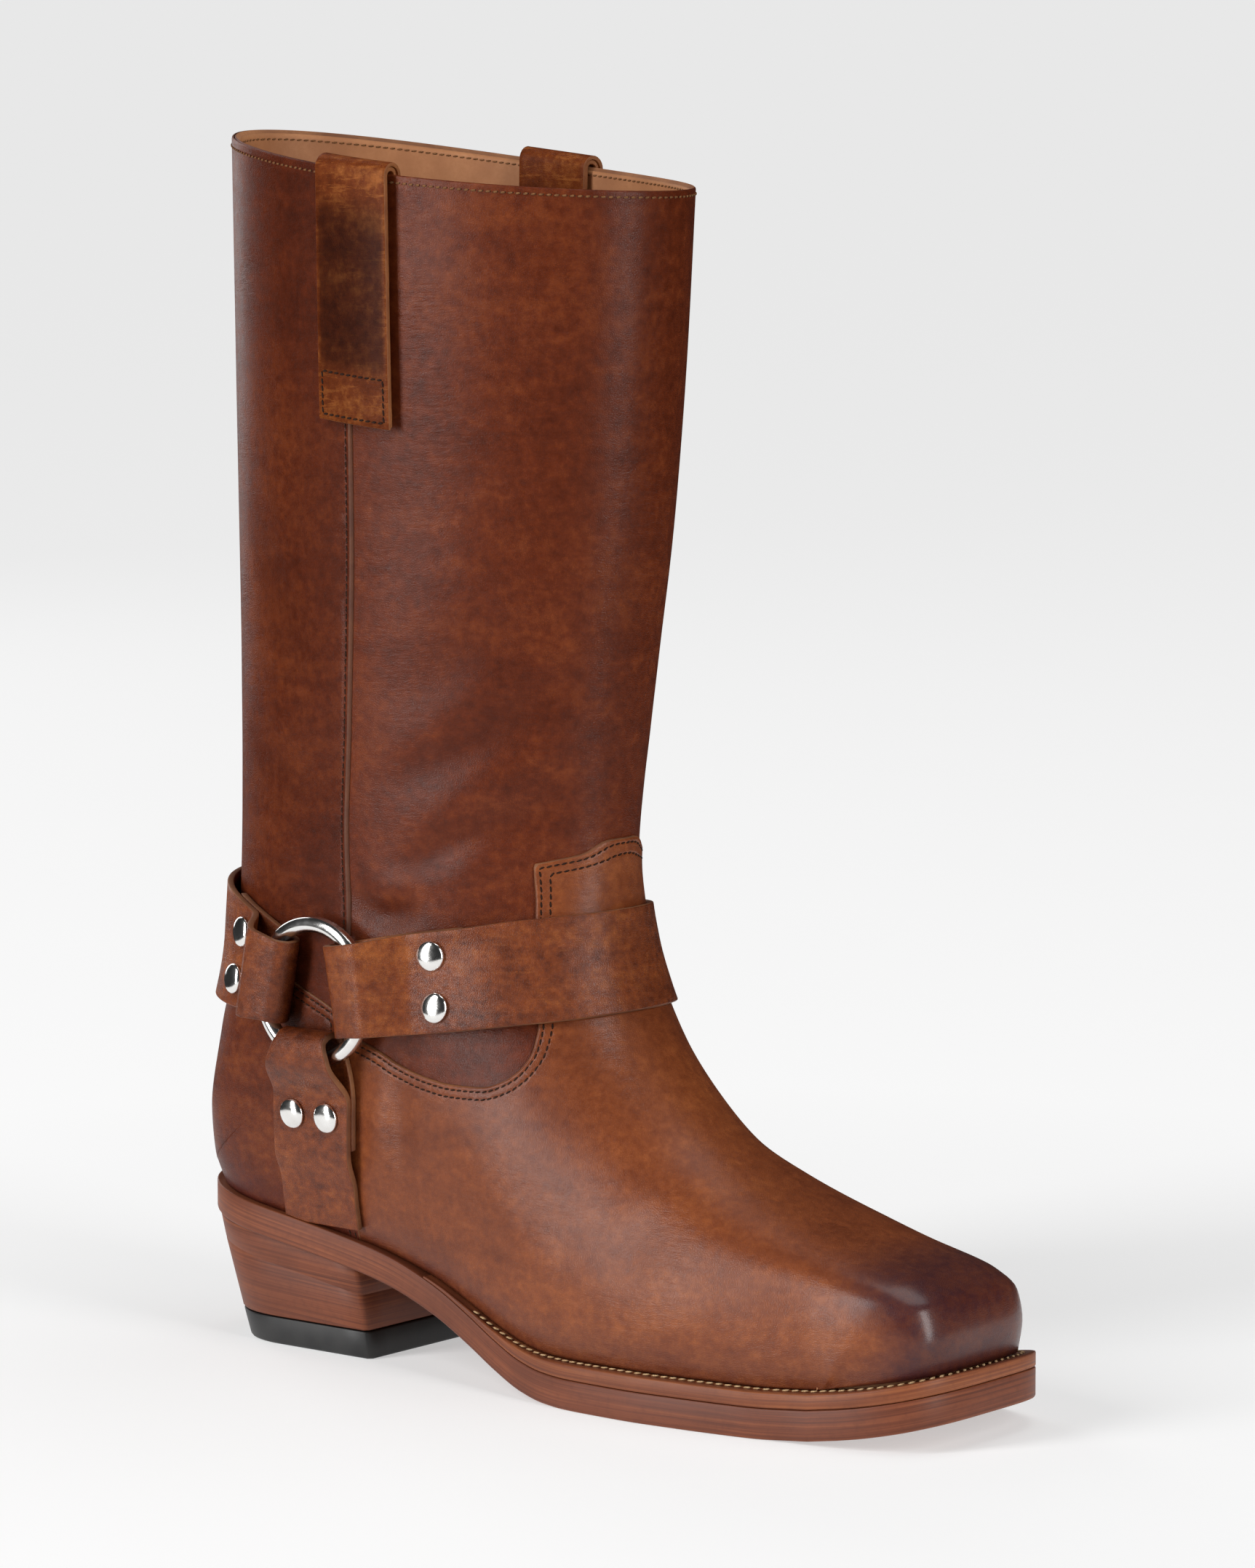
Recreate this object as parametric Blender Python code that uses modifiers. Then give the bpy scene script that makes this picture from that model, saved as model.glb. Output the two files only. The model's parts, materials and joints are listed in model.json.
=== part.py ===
"""Square-toe harness boot, right foot, standing empty on its sole and heel.

Axes: +X towards the toe, +Y towards the inner side of the foot, +Z up, metres.
The tables below are in millimetres, with x counted from the back of the sole.
"""
import math
from collections import namedtuple

import bmesh
import bpy
import numpy as np
from mathutils import Vector
from mathutils.bvhtree import BVHTree

MM = 0.001

# Overall sizes of the shoe, in millimetres.
FEATHER_BACK = 3.0
FEATHER_FRONT = 273.0
HEEL_ROUND_X = 36.0
HEEL_ROUND_POWER = 2.3
TOE_AXIS_X = 240.0
TOE_POWER = 4.2
TOE_TAPER = 0.135
ORIGIN_X = 139.2
LATERAL, MEDIAL = -1, 1

# Thicknesses and clearances.
OUTSOLE_THICKNESS = 8.9
UPPER_THICKNESS = 2.4
LIFT_THICKNESS = 8.3
STRAP_THICKNESS = 2.0
FIT_GAP = 0.3
STRAP_GAP = 0.45
LAYER_GAP = 0.2
INSOLE_RISE = 2.0
INSOLE_GAP = 1.0
WELT_END_X = 98.0

# Harness ring and rivets.
RING_RADIUS = 20.0
RING_WIRE_RADIUS = 2.4
RING_CLEARANCE = 1.0
RING_X = 65.5
RING_Z = 111.5
RIVET_RADIUS = 4.5
RIVET_HEIGHT = 1.6
RivetRow = namedtuple("RivetRow", "radius_share height_share")
RIVET_ROWS = [
    RivetRow(0.0, 0.0),
    RivetRow(0.955, 0.0),
    RivetRow(1.0, 0.22),
    RivetRow(0.82, 0.72),
    RivetRow(0.45, 0.95),
    RivetRow(0.0, 1.0),
]

# Mesh fineness. A turn of one radian counts as so many millimetres of section.
SIDE_COLUMNS = 14
FINE_COLUMNS = 44
FINE_STEPS = 5
SECTION_SAMPLES = 81
TURN_WEIGHT = 25.0
HEEL_STATIONS = 9
BODY_STATIONS = 36
TOE_STATIONS = 11
HEEL_TURNS = 17
STACK_LEVELS = 5
RING_SEGMENTS = 32
WIRE_SEGMENTS = 8
RIVET_STEPS = 12
SOLVE_ROUNDS = 4
NORMAL_STEP = 3.0
CAST_DISTANCE = 300.0
WELD_DISTANCE = 0.00002
SHARP_ANGLE = 40.0

FootRow = namedtuple("FootRow", "x lateral medial welt_width")
FOOT_ROWS = [
    FootRow(3.0, 29.0, 29.0, 3.0),
    FootRow(36.0, 30.0, 30.0, 3.0),
    FootRow(72.0, 29.6, 28.8, 2.9),
    FootRow(100.0, 31.2, 27.4, 3.0),
    FootRow(125.0, 33.8, 28.6, 3.8),
    FootRow(150.0, 37.4, 33.4, 4.9),
    FootRow(165.0, 39.0, 36.8, 5.3),
    FootRow(180.0, 39.2, 39.2, 5.5),
    FootRow(200.0, 37.6, 39.9, 5.7),
    FootRow(217.0, 35.2, 38.3, 5.9),
    FootRow(240.0, 31.0, 33.4, 6.2),
    FootRow(273.0, 30.0, 32.5, 5.4),
]

SoleRow = namedtuple("SoleRow", "x bottom welt")
SOLE_ROWS = [
    SoleRow(0.0, 39.0, 0.0),
    SoleRow(36.0, 33.6, 0.0),
    SoleRow(72.0, 27.4, 0.0),
    SoleRow(86.0, 24.3, 0.3),
    SoleRow(103.0, 18.6, 1.2),
    SoleRow(118.0, 11.8, 1.9),
    SoleRow(129.0, 6.4, 2.7),
    SoleRow(140.0, 2.3, 3.6),
    SoleRow(150.0, 0.4, 4.3),
    SoleRow(158.0, 0.0, 4.6),
    SoleRow(190.0, 0.0, 4.7),
    SoleRow(222.0, 0.0, 4.7),
    SoleRow(238.0, 0.8, 4.7),
    SoleRow(253.0, 2.9, 4.7),
    SoleRow(266.0, 5.5, 4.7),
    SoleRow(278.0, 8.5, 4.7),
]

HeelRow = namedtuple("HeelRow", "z back half_width breast")
HEEL_ROWS = [
    HeelRow(0.0, 12.8, 26.4, 72.0),
    HeelRow(8.3, 9.6, 27.3, 71.3),
    HeelRow(20.0, 5.4, 29.0, 70.2),
    HeelRow(39.0, 0.7, 31.6, 69.0),
]

# One row per section of the last, toe to collar. The section plane runs from its
# lower or rear end (low_x, low_z) to its upper or front end (top_x, top_z). A low_z
# of None lies on the feather line of the sole.
Section = namedtuple(
    "Section",
    "name low_x low_z top_x top_z wide_lateral wide_medial wide_at foot_share top_power taper dip steps",
)
SECTIONS = [
    Section("toe edge", 240.0, None, 273.0, 21.3, 31.1, 33.5, 0.05, 1.0, 4.2, 0.135, 0.0, 2),
    Section("toe wall", 240.0, None, 274.0, 31.0, 31.3, 33.7, 0.08, 1.0, 4.4, 0.13, 0.0, 2),
    Section("toe brow", 240.0, None, 271.5, 40.2, 31.6, 33.6, 0.14, 1.0, 4.4, 0.11, 0.0, 2),
    Section("toe top", 240.0, None, 263.0, 45.4, 32.0, 34.0, 0.22, 1.0, 4.0, 0.06, 0.0, 2),
    Section("toe box", 240.0, None, 241.0, 51.4, 32.4, 34.8, 0.30, 1.0, 3.2, 0.0, 0.0, 2),
    Section("vamp", 215.0, None, 219.0, 58.4, 37.2, 40.2, 0.30, 1.0, 2.6, 0.0, 0.0, 2),
    Section("ball", 188.0, None, 198.0, 67.0, 41.0, 42.2, 0.29, 1.0, 2.25, 0.0, 0.0, 2),
    Section("ball rear", 165.0, None, 182.0, 77.2, 41.6, 40.6, 0.29, 1.0, 2.0, 0.0, 0.0, 2),
    Section("instep", 143.0, None, 168.0, 91.2, 40.8, 39.6, 0.32, 1.0, 2.0, 0.0, 0.0, 2),
    Section("instep rear", 120.0, None, 157.0, 106.4, 39.6, 38.6, 0.37, 1.0, 2.0, 0.0, 0.0, 2),
    Section("waist", 96.0, None, 150.6, 121.0, 38.6, 38.0, 0.42, 1.0, 2.0, 0.0, 0.0, 2),
    Section("throat", 68.0, None, 147.8, 133.0, 38.2, 37.8, 0.46, 1.0, 2.0, 0.0, 0.0, 2),
    Section("long heel", 38.0, None, 147.0, 143.0, 38.0, 37.6, 0.49, 1.0, 2.0, 0.0, 0.0, 2),
    Section("heel side", 17.0, None, 146.9, 149.0, 38.0, 37.6, 0.50, 1.0, 2.0, 0.0, 0.0, 2),
    Section("heel turn", 6.0, None, 147.0, 153.0, 38.0, 37.6, 0.50, 1.0, 2.0, 0.0, 0.0, 2),
    Section("heel seat", 3.0, None, 147.1, 156.0, 38.0, 37.6, 0.50, 1.0, 2.0, 0.0, 0.0, 2),
    Section("counter", 0.9, 64.0, 147.6, 163.0, 38.2, 37.8, 0.50, 1.0, 2.0, 0.0, 0.0, 2),
    Section("counter top", 4.3, 88.0, 149.0, 177.0, 38.6, 38.2, 0.50, 0.85, 2.0, 0.0, 0.0, 2),
    Section("ankle", 8.7, 116.0, 151.0, 193.0, 39.6, 39.2, 0.50, 0.5, 2.0, 0.0, 0.0, 2),
    Section("shaft low", 9.0, 158.0, 154.0, 217.0, 41.6, 41.4, 0.50, 0.15, 2.0, 0.0, 0.0, 2),
    Section("shaft", 8.9, 214.0, 158.2, 249.0, 44.0, 44.0, 0.50, 0.0, 2.0, 0.0, 0.0, 3),
    Section("shaft high", 8.3, 284.0, 162.4, 296.0, 46.0, 46.2, 0.50, 0.0, 2.0, 0.0, 0.8, 3),
    Section("collar", 7.4, 360.5, 165.4, 345.5, 47.2, 47.6, 0.50, 0.0, 2.0, 0.0, 2.0, 0),
]

# Straps of the harness: width at the ring and far from it, rise per length towards the
# toe, distance of the rivets and of the returned end from the ring centre.
Strap = namedtuple("Strap", "fold_width far_width widen_over slope settle rivets return_end rivet_spread")
FRONT_STRAP = Strap(27.5, 30.0, 30.0, 0.15, 15.0, 42.0, 52.0, 7.7)
BACK_STRAP = Strap(25.0, 35.0, 46.0, -0.20, 11.0, 34.0, 43.0, 7.4)
SIDE_STRAP = Strap(18.4, 29.5, 20.0, 0.0, 12.0, 37.0, 47.0, 6.7)
FRONT_PIVOT_X = 84.0
BACK_PIVOT_X = 48.0
SIDE_STRAP_TOP_X = 64.9
SIDE_STRAP_FOOT_X = 58.8
RING_LIFT = 1.8
RETURN_MARGIN = 1.5
STEP_LENGTH = 11.0
WIDEN_START = 14.0
BAND_SWEEP = 125.0
SIDE_PATH_ABOVE = 30.0
SIDE_PATH_FOOT_Z = 40.0
SIDE_SEARCH_STEP = 0.1
STRAP_PITCH = 8.0
STRAP_COLUMNS = 3
FOLD_TURNS = 8
SETTLE_STEPS = 5

# Pull straps at the collar.
PULL_X = 86.0
PULL_WIDTH = 25.5
PULL_OUTSIDE = 72.0
PULL_INSIDE = 52.0
PULL_COLUMNS = 2
PULL_RISE = 2.4
PULL_BEND = 4.0
PULL_BEND_TURNS = 7
PULL_OUTSIDE_ROWS = 5
PULL_INSIDE_ROWS = 4
RIM_MARGIN = 0.5

Finish = namedtuple("Finish", "name colour roughness metallic")
UPPER_LEATHER = Finish("upper leather", (0.33, 0.13, 0.055), 0.45, 0.0)
STRAP_LEATHER = Finish("strap leather", (0.30, 0.12, 0.05), 0.42, 0.0)
LINING_LEATHER = Finish("lining leather", (0.50, 0.30, 0.16), 0.7, 0.0)
WELT_LEATHER = Finish("welt leather", (0.36, 0.17, 0.08), 0.6, 0.0)
SOLE_LEATHER = Finish("sole leather", (0.26, 0.10, 0.055), 0.6, 0.0)
LIFT_RUBBER = Finish("lift rubber", (0.02, 0.02, 0.02), 0.7, 0.0)
NICKEL = Finish("nickel", (0.75, 0.74, 0.72), 0.2, 1.0)


def monotone_curve(xs, ys):
    """Smooth curve through the points of a table that adds no bumps of its own."""
    xs = np.asarray(xs, float)
    ys = np.asarray(ys, float)
    gaps = np.diff(xs)
    slopes = np.diff(ys) / gaps
    tangents = np.zeros(len(xs))
    tangents[0] = slopes[0]
    tangents[-1] = slopes[-1]
    for i in range(1, len(xs) - 1):
        if slopes[i - 1] * slopes[i] > 0:
            near = 2 * gaps[i] + gaps[i - 1]
            far = gaps[i] + 2 * gaps[i - 1]
            tangents[i] = (near + far) / (near / slopes[i - 1] + far / slopes[i])

    def value(x):
        x = np.clip(x, xs[0], xs[-1])
        i = int(np.clip(np.searchsorted(xs, x, side="right") - 1, 0, len(xs) - 2))
        t = (x - xs[i]) / gaps[i]
        rise = (1 + 2 * t) * (1 - t) ** 2 * ys[i] + t * t * (3 - 2 * t) * ys[i + 1]
        lean = t * (1 - t) ** 2 * tangents[i] - t * t * (1 - t) * tangents[i + 1]
        return float(rise + gaps[i] * lean)

    return value


def table_curve(rows, key, column):
    return monotone_curve([getattr(r, key) for r in rows], [getattr(r, column) for r in rows])


foot_lateral = table_curve(FOOT_ROWS, "x", "lateral")
foot_medial = table_curve(FOOT_ROWS, "x", "medial")
welt_width = table_curve(FOOT_ROWS, "x", "welt_width")
sole_bottom = table_curve(SOLE_ROWS, "x", "bottom")
welt_thickness = table_curve(SOLE_ROWS, "x", "welt")
heel_back = table_curve(HEEL_ROWS, "z", "back")
heel_half_width = table_curve(HEEL_ROWS, "z", "half_width")
heel_breast = table_curve(HEEL_ROWS, "z", "breast")


def outsole_top(x):
    return sole_bottom(x) + OUTSOLE_THICKNESS


def feather_height(x):
    return outsole_top(x) + welt_thickness(x) + FIT_GAP


def feather_half_width(x, side):
    """Half width of the bottom of the last at x, rounded at the heel and square at the toe."""
    half = foot_lateral(x) if side == LATERAL else foot_medial(x)
    if x < HEEL_ROUND_X:
        q = min(1.0, (HEEL_ROUND_X - x) / (HEEL_ROUND_X - FEATHER_BACK))
        half *= (1 - q ** HEEL_ROUND_POWER) ** (1 / HEEL_ROUND_POWER)
    if x > TOE_AXIS_X:
        q = min(1.0, (x - TOE_AXIS_X) / (FEATHER_FRONT - TOE_AXIS_X))
        half = foot_lateral(TOE_AXIS_X) if side == LATERAL else foot_medial(TOE_AXIS_X)
        half *= (1 - TOE_TAPER * q) * (1 - q ** TOE_POWER) ** (1 / TOE_POWER)
    return half


def outline_stations(heel_count, body_count, toe_count):
    """Stations along the foot, closer together where the outline turns."""
    heel = []
    for t in np.linspace(math.pi / 2, 0, heel_count, endpoint=False):
        reach = math.sin(t) ** (2 / HEEL_ROUND_POWER)
        heel.append(HEEL_ROUND_X - (HEEL_ROUND_X - FEATHER_BACK) * reach)
    body = list(np.linspace(HEEL_ROUND_X, TOE_AXIS_X, body_count, endpoint=False))
    toe = []
    for t in np.linspace(0, math.pi / 2, toe_count):
        reach = math.sin(t) ** (2 / TOE_POWER)
        toe.append(TOE_AXIS_X + (FEATHER_FRONT - TOE_AXIS_X) * reach)
    return heel + body + toe


def foot_loop(stations, grow):
    """Outline round the foot grown by grow(x): two lists of points, outer and inner side."""
    lateral = [(x, -feather_half_width(x, LATERAL)) for x in stations]
    medial = [(x, feather_half_width(x, MEDIAL)) for x in stations]
    loop = np.array(lateral + medial[-2:0:-1])
    ahead = np.roll(loop, -1, axis=0)
    behind = np.roll(loop, 1, axis=0)
    tangent = ahead - behind
    tangent /= np.linalg.norm(tangent, axis=1)[:, None]
    normal = np.stack([tangent[:, 1], -tangent[:, 0]], axis=1)
    amount = np.array([grow(x) for x in loop[:, 0]])
    grown = loop + normal * amount[:, None]
    count = len(stations)
    near = grown[:count]
    far = np.vstack([grown[:1], grown[count:][::-1], grown[count - 1 : count]])
    return near, far


def make_material(node, finish):
    material = bpy.data.materials.new(f"{node} {finish.name}")
    material.use_nodes = True
    shader = material.node_tree.nodes["Principled BSDF"]
    shader.inputs["Base Color"].default_value = (*finish.colour, 1.0)
    shader.inputs["Roughness"].default_value = finish.roughness
    shader.inputs["Metallic"].default_value = finish.metallic
    return material


def new_object(name, verts, faces, finish, collection):
    mesh = bpy.data.meshes.new(name)
    mesh.from_pydata([Vector(v) * MM for v in verts], [], faces)
    mesh.materials.append(make_material(name, finish))
    obj = bpy.data.objects.new(name, mesh)
    collection.objects.link(obj)
    return obj


def tidy_mesh(obj, closed=True):
    """Weld the seams of a mesh and turn the faces of a closed one outwards."""
    work = bmesh.new()
    work.from_mesh(obj.data)
    bmesh.ops.remove_doubles(work, verts=work.verts, dist=WELD_DISTANCE)
    bmesh.ops.dissolve_degenerate(work, edges=work.edges, dist=WELD_DISTANCE)
    if closed:
        bmesh.ops.recalc_face_normals(work, faces=work.faces)
    work.to_mesh(obj.data)
    work.free()


def slab(name, near, far, low, high, finish, collection):
    """Flat-edged layer between two outlines, its lower and upper faces following the sole."""
    verts = []
    for a, b in zip(near, far):
        for point in (a, b):
            verts.append((point[0], point[1], low(point[0])))
            verts.append((point[0], point[1], high(point[0])))
    faces = []
    for i in range(len(near) - 1):
        here = 4 * i
        there = here + 4
        faces.append((here, here + 2, there + 2, there))
        faces.append((here + 1, there + 1, there + 3, here + 3))
        faces.append((here, there, there + 1, here + 1))
        faces.append((here + 2, here + 3, there + 3, there + 2))
    tidy_mesh(new_object(name, verts, faces, finish, collection))


def make_sole(collection):
    stations = outline_stations(HEEL_STATIONS, BODY_STATIONS, TOE_STATIONS)
    near, far = foot_loop(stations, welt_width)
    slab("outsole", near, far, sole_bottom, outsole_top, SOLE_LEATHER, collection)
    near, far = foot_loop(stations, lambda x: -(UPPER_THICKNESS + INSOLE_GAP))
    floor = lambda x: outsole_top(x) + FIT_GAP
    surface = lambda x: feather_height(x) + INSOLE_RISE
    slab("insole", near, far, floor, surface, LINING_LEATHER, collection)
    make_welt(stations, collection)


def make_welt(stations, collection):
    """Strip round the forefoot between the upper and the outsole."""
    first = next(i for i, x in enumerate(stations) if x > WELT_END_X)
    outer_near, outer_far = foot_loop(stations, welt_width)
    inner_near, inner_far = foot_loop(stations, lambda x: -UPPER_THICKNESS)
    outer = list(outer_near[first:]) + list(outer_far[first:-1][::-1])
    inner = list(inner_near[first:]) + list(inner_far[first:-1][::-1])
    verts = []
    for a, b in zip(outer, inner):
        for point in (a, b):
            base = outsole_top(point[0])
            verts.append((point[0], point[1], base + FIT_GAP / 2))
            verts.append((point[0], point[1], base + welt_thickness(point[0]) - FIT_GAP / 2))
    faces = [(0, 2, 3, 1)]
    for i in range(len(outer) - 1):
        here = 4 * i
        there = here + 4
        faces.append((here, there, there + 2, here + 2))
        faces.append((here + 1, here + 3, there + 3, there + 1))
        faces.append((here, here + 1, there + 1, there))
        faces.append((here + 2, there + 2, there + 3, here + 3))
    last = 4 * (len(outer) - 1)
    faces.append((last, last + 1, last + 3, last + 2))
    tidy_mesh(new_object("welt", verts, faces, WELT_LEATHER, collection))


def heel_outline(level_at):
    """Outline of the heel, round at the back and straight at the breast."""
    points = []
    for t in np.linspace(-math.pi / 2, math.pi / 2, HEEL_TURNS):
        x = FEATHER_BACK
        for _ in range(SOLVE_ROUNDS):
            z = level_at(x)
            back = heel_back(z)
            half = heel_half_width(z)
            reach = max(0.0, math.cos(t)) ** (2 / HEEL_ROUND_POWER)
            x = HEEL_ROUND_X - (HEEL_ROUND_X - back) * reach
        side = math.copysign(abs(math.sin(t)) ** (2 / HEEL_ROUND_POWER), t)
        points.append((x, half * side, z))
    ends = []
    for side in (MEDIAL, LATERAL):
        x = heel_breast(0.0)
        for _ in range(SOLVE_ROUNDS):
            z = level_at(x)
            x = heel_breast(z)
        ends.append((x, side * heel_half_width(z), z))
    return points + ends


def make_heel(collection):
    floor = LIFT_THICKNESS + FIT_GAP
    rings = []
    for share in np.linspace(0.0, 1.0, STACK_LEVELS):
        level_at = lambda x, share=share: floor + share * (sole_bottom(x) - FIT_GAP - floor)
        rings.append(heel_outline(level_at))
    loft_rings("heel_stack", rings, SOLE_LEATHER, collection)
    rings = [heel_outline(lambda x, z=z: z) for z in (0.0, LIFT_THICKNESS)]
    loft_rings("heel_lift", rings, LIFT_RUBBER, collection)


def loft_rings(name, rings, finish, collection):
    count = len(rings[0])
    verts = [point for ring in rings for point in ring]
    faces = [tuple(range(count))[::-1]]
    for k in range(len(rings) - 1):
        for i in range(count):
            j = (i + 1) % count
            faces.append((k * count + i, k * count + j, (k + 1) * count + j, (k + 1) * count + i))
    faces.append(tuple((len(rings) - 1) * count + i for i in range(count)))
    tidy_mesh(new_object(name, verts, faces, finish, collection))


def section_curves():
    numbers = range(len(SECTIONS))
    curves = {}
    for column in Section._fields[1:-1]:
        values = []
        for row in SECTIONS:
            value = getattr(row, column)
            values.append(feather_height(row.low_x) if value is None else value)
        curves[column] = monotone_curve(numbers, values)
    return curves


def half_section(row, side, wide, shift, count):
    """Half of one section: shares of the way along the section plane and half widths."""
    turn = np.linspace(0, math.pi / 2, SECTION_SAMPLES)
    reach = math.hypot(row["top_x"] - row["low_x"], row["top_z"] - row["low_z"])
    low = row["wide_at"] * (1 - np.cos(turn))
    along = row["low_x"] - shift + low * (row["top_x"] - row["low_x"])
    foot = np.array([feather_half_width(x, side) for x in along])
    swell = np.sin(turn) ** 2
    over_foot = foot + (wide - foot) * swell
    low_y = row["foot_share"] * over_foot + (1 - row["foot_share"]) * wide * np.sin(turn)
    run = np.sin(turn) ** (2 / row["top_power"])
    fall = np.clip(np.cos(turn), 0, 1) ** (2 / row["top_power"])
    top_y = wide * (1 - row["taper"] * run) * fall
    top = row["wide_at"] + (1 - row["wide_at"]) * run
    share = np.concatenate([low, top[1:]])
    half = np.concatenate([low_y, top_y[1:]])
    half[-1] = 0.0
    ahead = np.diff(share) * reach
    across = np.diff(half)
    bends = np.abs(np.diff(np.unwrap(np.arctan2(across, ahead)), prepend=0.0))
    bends[0] = 0.0
    measure = np.concatenate([[0], np.cumsum(np.hypot(ahead, across) + TURN_WEIGHT * bends)])
    wanted = np.linspace(0, measure[-1], count + 1)
    return np.interp(wanted, measure, share), np.interp(wanted, measure, half)


def upper_rows(columns, refine):
    """Sections of the upper from toe to collar, each from the outer foot over to the inner foot."""
    curves = section_curves()
    places = []
    for number, section in enumerate(SECTIONS[:-1]):
        count = section.steps * refine
        places += [number + k / count for k in range(count)]
    places.append(len(SECTIONS) - 1)
    seat = [section.name for section in SECTIONS].index("heel seat")
    rows = []
    for place in places:
        row = {column: curve(place) for column, curve in curves.items()}
        if place <= seat:
            row["low_z"] = feather_height(row["low_x"])
        shift = row["low_x"] - FEATHER_BACK if place > seat else 0.0
        line = []
        for side, wide in ((LATERAL, row["wide_lateral"]), (MEDIAL, row["wide_medial"])):
            share, half = half_section(row, side, wide, shift, columns)
            points = [
                (
                    row["low_x"] + s * (row["top_x"] - row["low_x"]),
                    side * y,
                    row["low_z"] + s * (row["top_z"] - row["low_z"]) - row["dip"] * math.sin(math.pi * s),
                )
                for s, y in zip(share, half)
            ]
            line.append(points)
        rows.append(line[0] + line[1][-2::-1])
    return rows


def grid_mesh(rows):
    width = len(rows[0])
    verts = [point for row in rows for point in row]
    faces = []
    for i in range(len(rows) - 1):
        for j in range(width - 1):
            a = i * width + j
            faces.append((a, a + 1, a + width + 1, a + width))
    return verts, faces


def split_faces(verts, faces):
    """Halve each face along its shorter diagonal, which keeps skewed faces on the surface."""
    halves = []
    for a, b, c, d in faces:
        if math.dist(verts[a], verts[c]) < math.dist(verts[b], verts[d]):
            halves += [(a, b, c), (a, c, d)]
        else:
            halves += [(a, b, d), (b, c, d)]
    return halves


def thicken(obj, thickness, offset):
    wall = obj.modifiers.new("thickness", "SOLIDIFY")
    wall.thickness = thickness * MM
    wall.offset = offset
    wall.use_even_offset = True


def make_upper(collection):
    verts, faces = grid_mesh(upper_rows(SIDE_COLUMNS, 1))
    obj = new_object("upper", verts, split_faces(verts, faces), UPPER_LEATHER, collection)
    tidy_mesh(obj, closed=False)
    thicken(obj, UPPER_THICKNESS, -1.0)


def upper_surface():
    """Fine copy of the outer face of the upper, for laying straps on it."""
    verts, faces = grid_mesh(upper_rows(FINE_COLUMNS, FINE_STEPS))
    return BVHTree.FromPolygons([Vector(v) for v in verts], split_faces(verts, faces))


def surface_point(tree, start, direction):
    """Outermost point of the upper from a point inside along a direction."""
    direction = Vector(direction).normalized()
    hit, normal, _, _ = tree.ray_cast(Vector(start) + direction * CAST_DISTANCE, -direction)
    if normal.dot(direction) < 0:
        normal = -normal
    return hit, normal


class SurfacePath:
    """Path on the outer face of the upper: s along it, w across it, h above the leather."""

    def __init__(self, place):
        self.place = place

    def lay(self, s, w, h):
        along = self.place(s + NORMAL_STEP, w) - self.place(s - NORMAL_STEP, w)
        across = self.place(s, w + NORMAL_STEP) - self.place(s, w - NORMAL_STEP)
        normal = along.cross(across).normalized()
        point = self.place(s, w)
        if normal.dot(Vector((point.x - RING_X, point.y, 0.0))) < 0:
            normal = -normal
        return point + normal * h, normal


def band_path(tree, pivot_x, slope, facing):
    """Path round the ankle in a tilted plane, from the outer ring to the inner ring."""
    lean = math.atan(slope)
    ahead = Vector((math.cos(lean), 0.0, math.sin(lean)))
    across = Vector((-math.sin(lean), 0.0, math.cos(lean)))
    pivot = Vector((pivot_x, 0.0, RING_Z + slope * (pivot_x - RING_X)))

    def at_angle(angle, w):
        direction = ahead * (facing * math.cos(angle)) + Vector((0.0, math.sin(angle), 0.0))
        return surface_point(tree, pivot + across * w, direction)[0]

    angles = np.radians(np.arange(-BAND_SWEEP, BAND_SWEEP + 1.0))
    points = [at_angle(a, 0.0) for a in angles]
    gaps = [(b - a).length for a, b in zip(points, points[1:])]
    length = np.concatenate([[0.0], np.cumsum(gaps)])
    xs = np.array([p.x for p in points])
    half = len(angles) // 2
    start = np.interp(RING_X * facing, (xs[:half] * facing), length[:half])
    end = np.interp(-RING_X * facing, (-xs[half:] * facing), length[half:])

    def place(s, w):
        return at_angle(float(np.interp(start + s, length, angles)), w)

    return SurfacePath(place), end - start


def side_path(tree, side):
    """Path down the side of the heel from the ring centre to the sole."""
    heights = np.arange(RING_Z + SIDE_PATH_ABOVE, SIDE_PATH_FOOT_Z, -1.0)

    def centre_x(z):
        share = (RING_Z - z) / (RING_Z - SIDE_PATH_FOOT_Z)
        return SIDE_STRAP_TOP_X + (SIDE_STRAP_FOOT_X - SIDE_STRAP_TOP_X) * share

    def at_height(z, w):
        x = centre_x(z) + w
        on_upper = max(z, feather_height(x) + 1.0)
        point = surface_point(tree, (x, 0.0, on_upper), (0.0, side, 0.0))[0]
        return point + Vector((0.0, 0.0, z - on_upper))

    points = [at_height(z, 0.0) for z in heights]
    gaps = [(b - a).length for a, b in zip(points, points[1:])]
    length = np.concatenate([[0.0], np.cumsum(gaps)])
    start = float(np.interp(-RING_Z, -heights, length))

    def place(s, w):
        return at_height(float(np.interp(start + s, length, heights)), w)

    return SurfacePath(place), float(length[-1]) - start


def strap_width(strap, s):
    share = min(1.0, max(0.0, s - WIDEN_START) / strap.widen_over)
    return strap.fold_width + (strap.far_width - strap.fold_width) * math.sin(share * math.pi / 2)


def ring_height():
    return STRAP_GAP + STRAP_THICKNESS + RING_CLEARANCE + RING_WIRE_RADIUS


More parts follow.
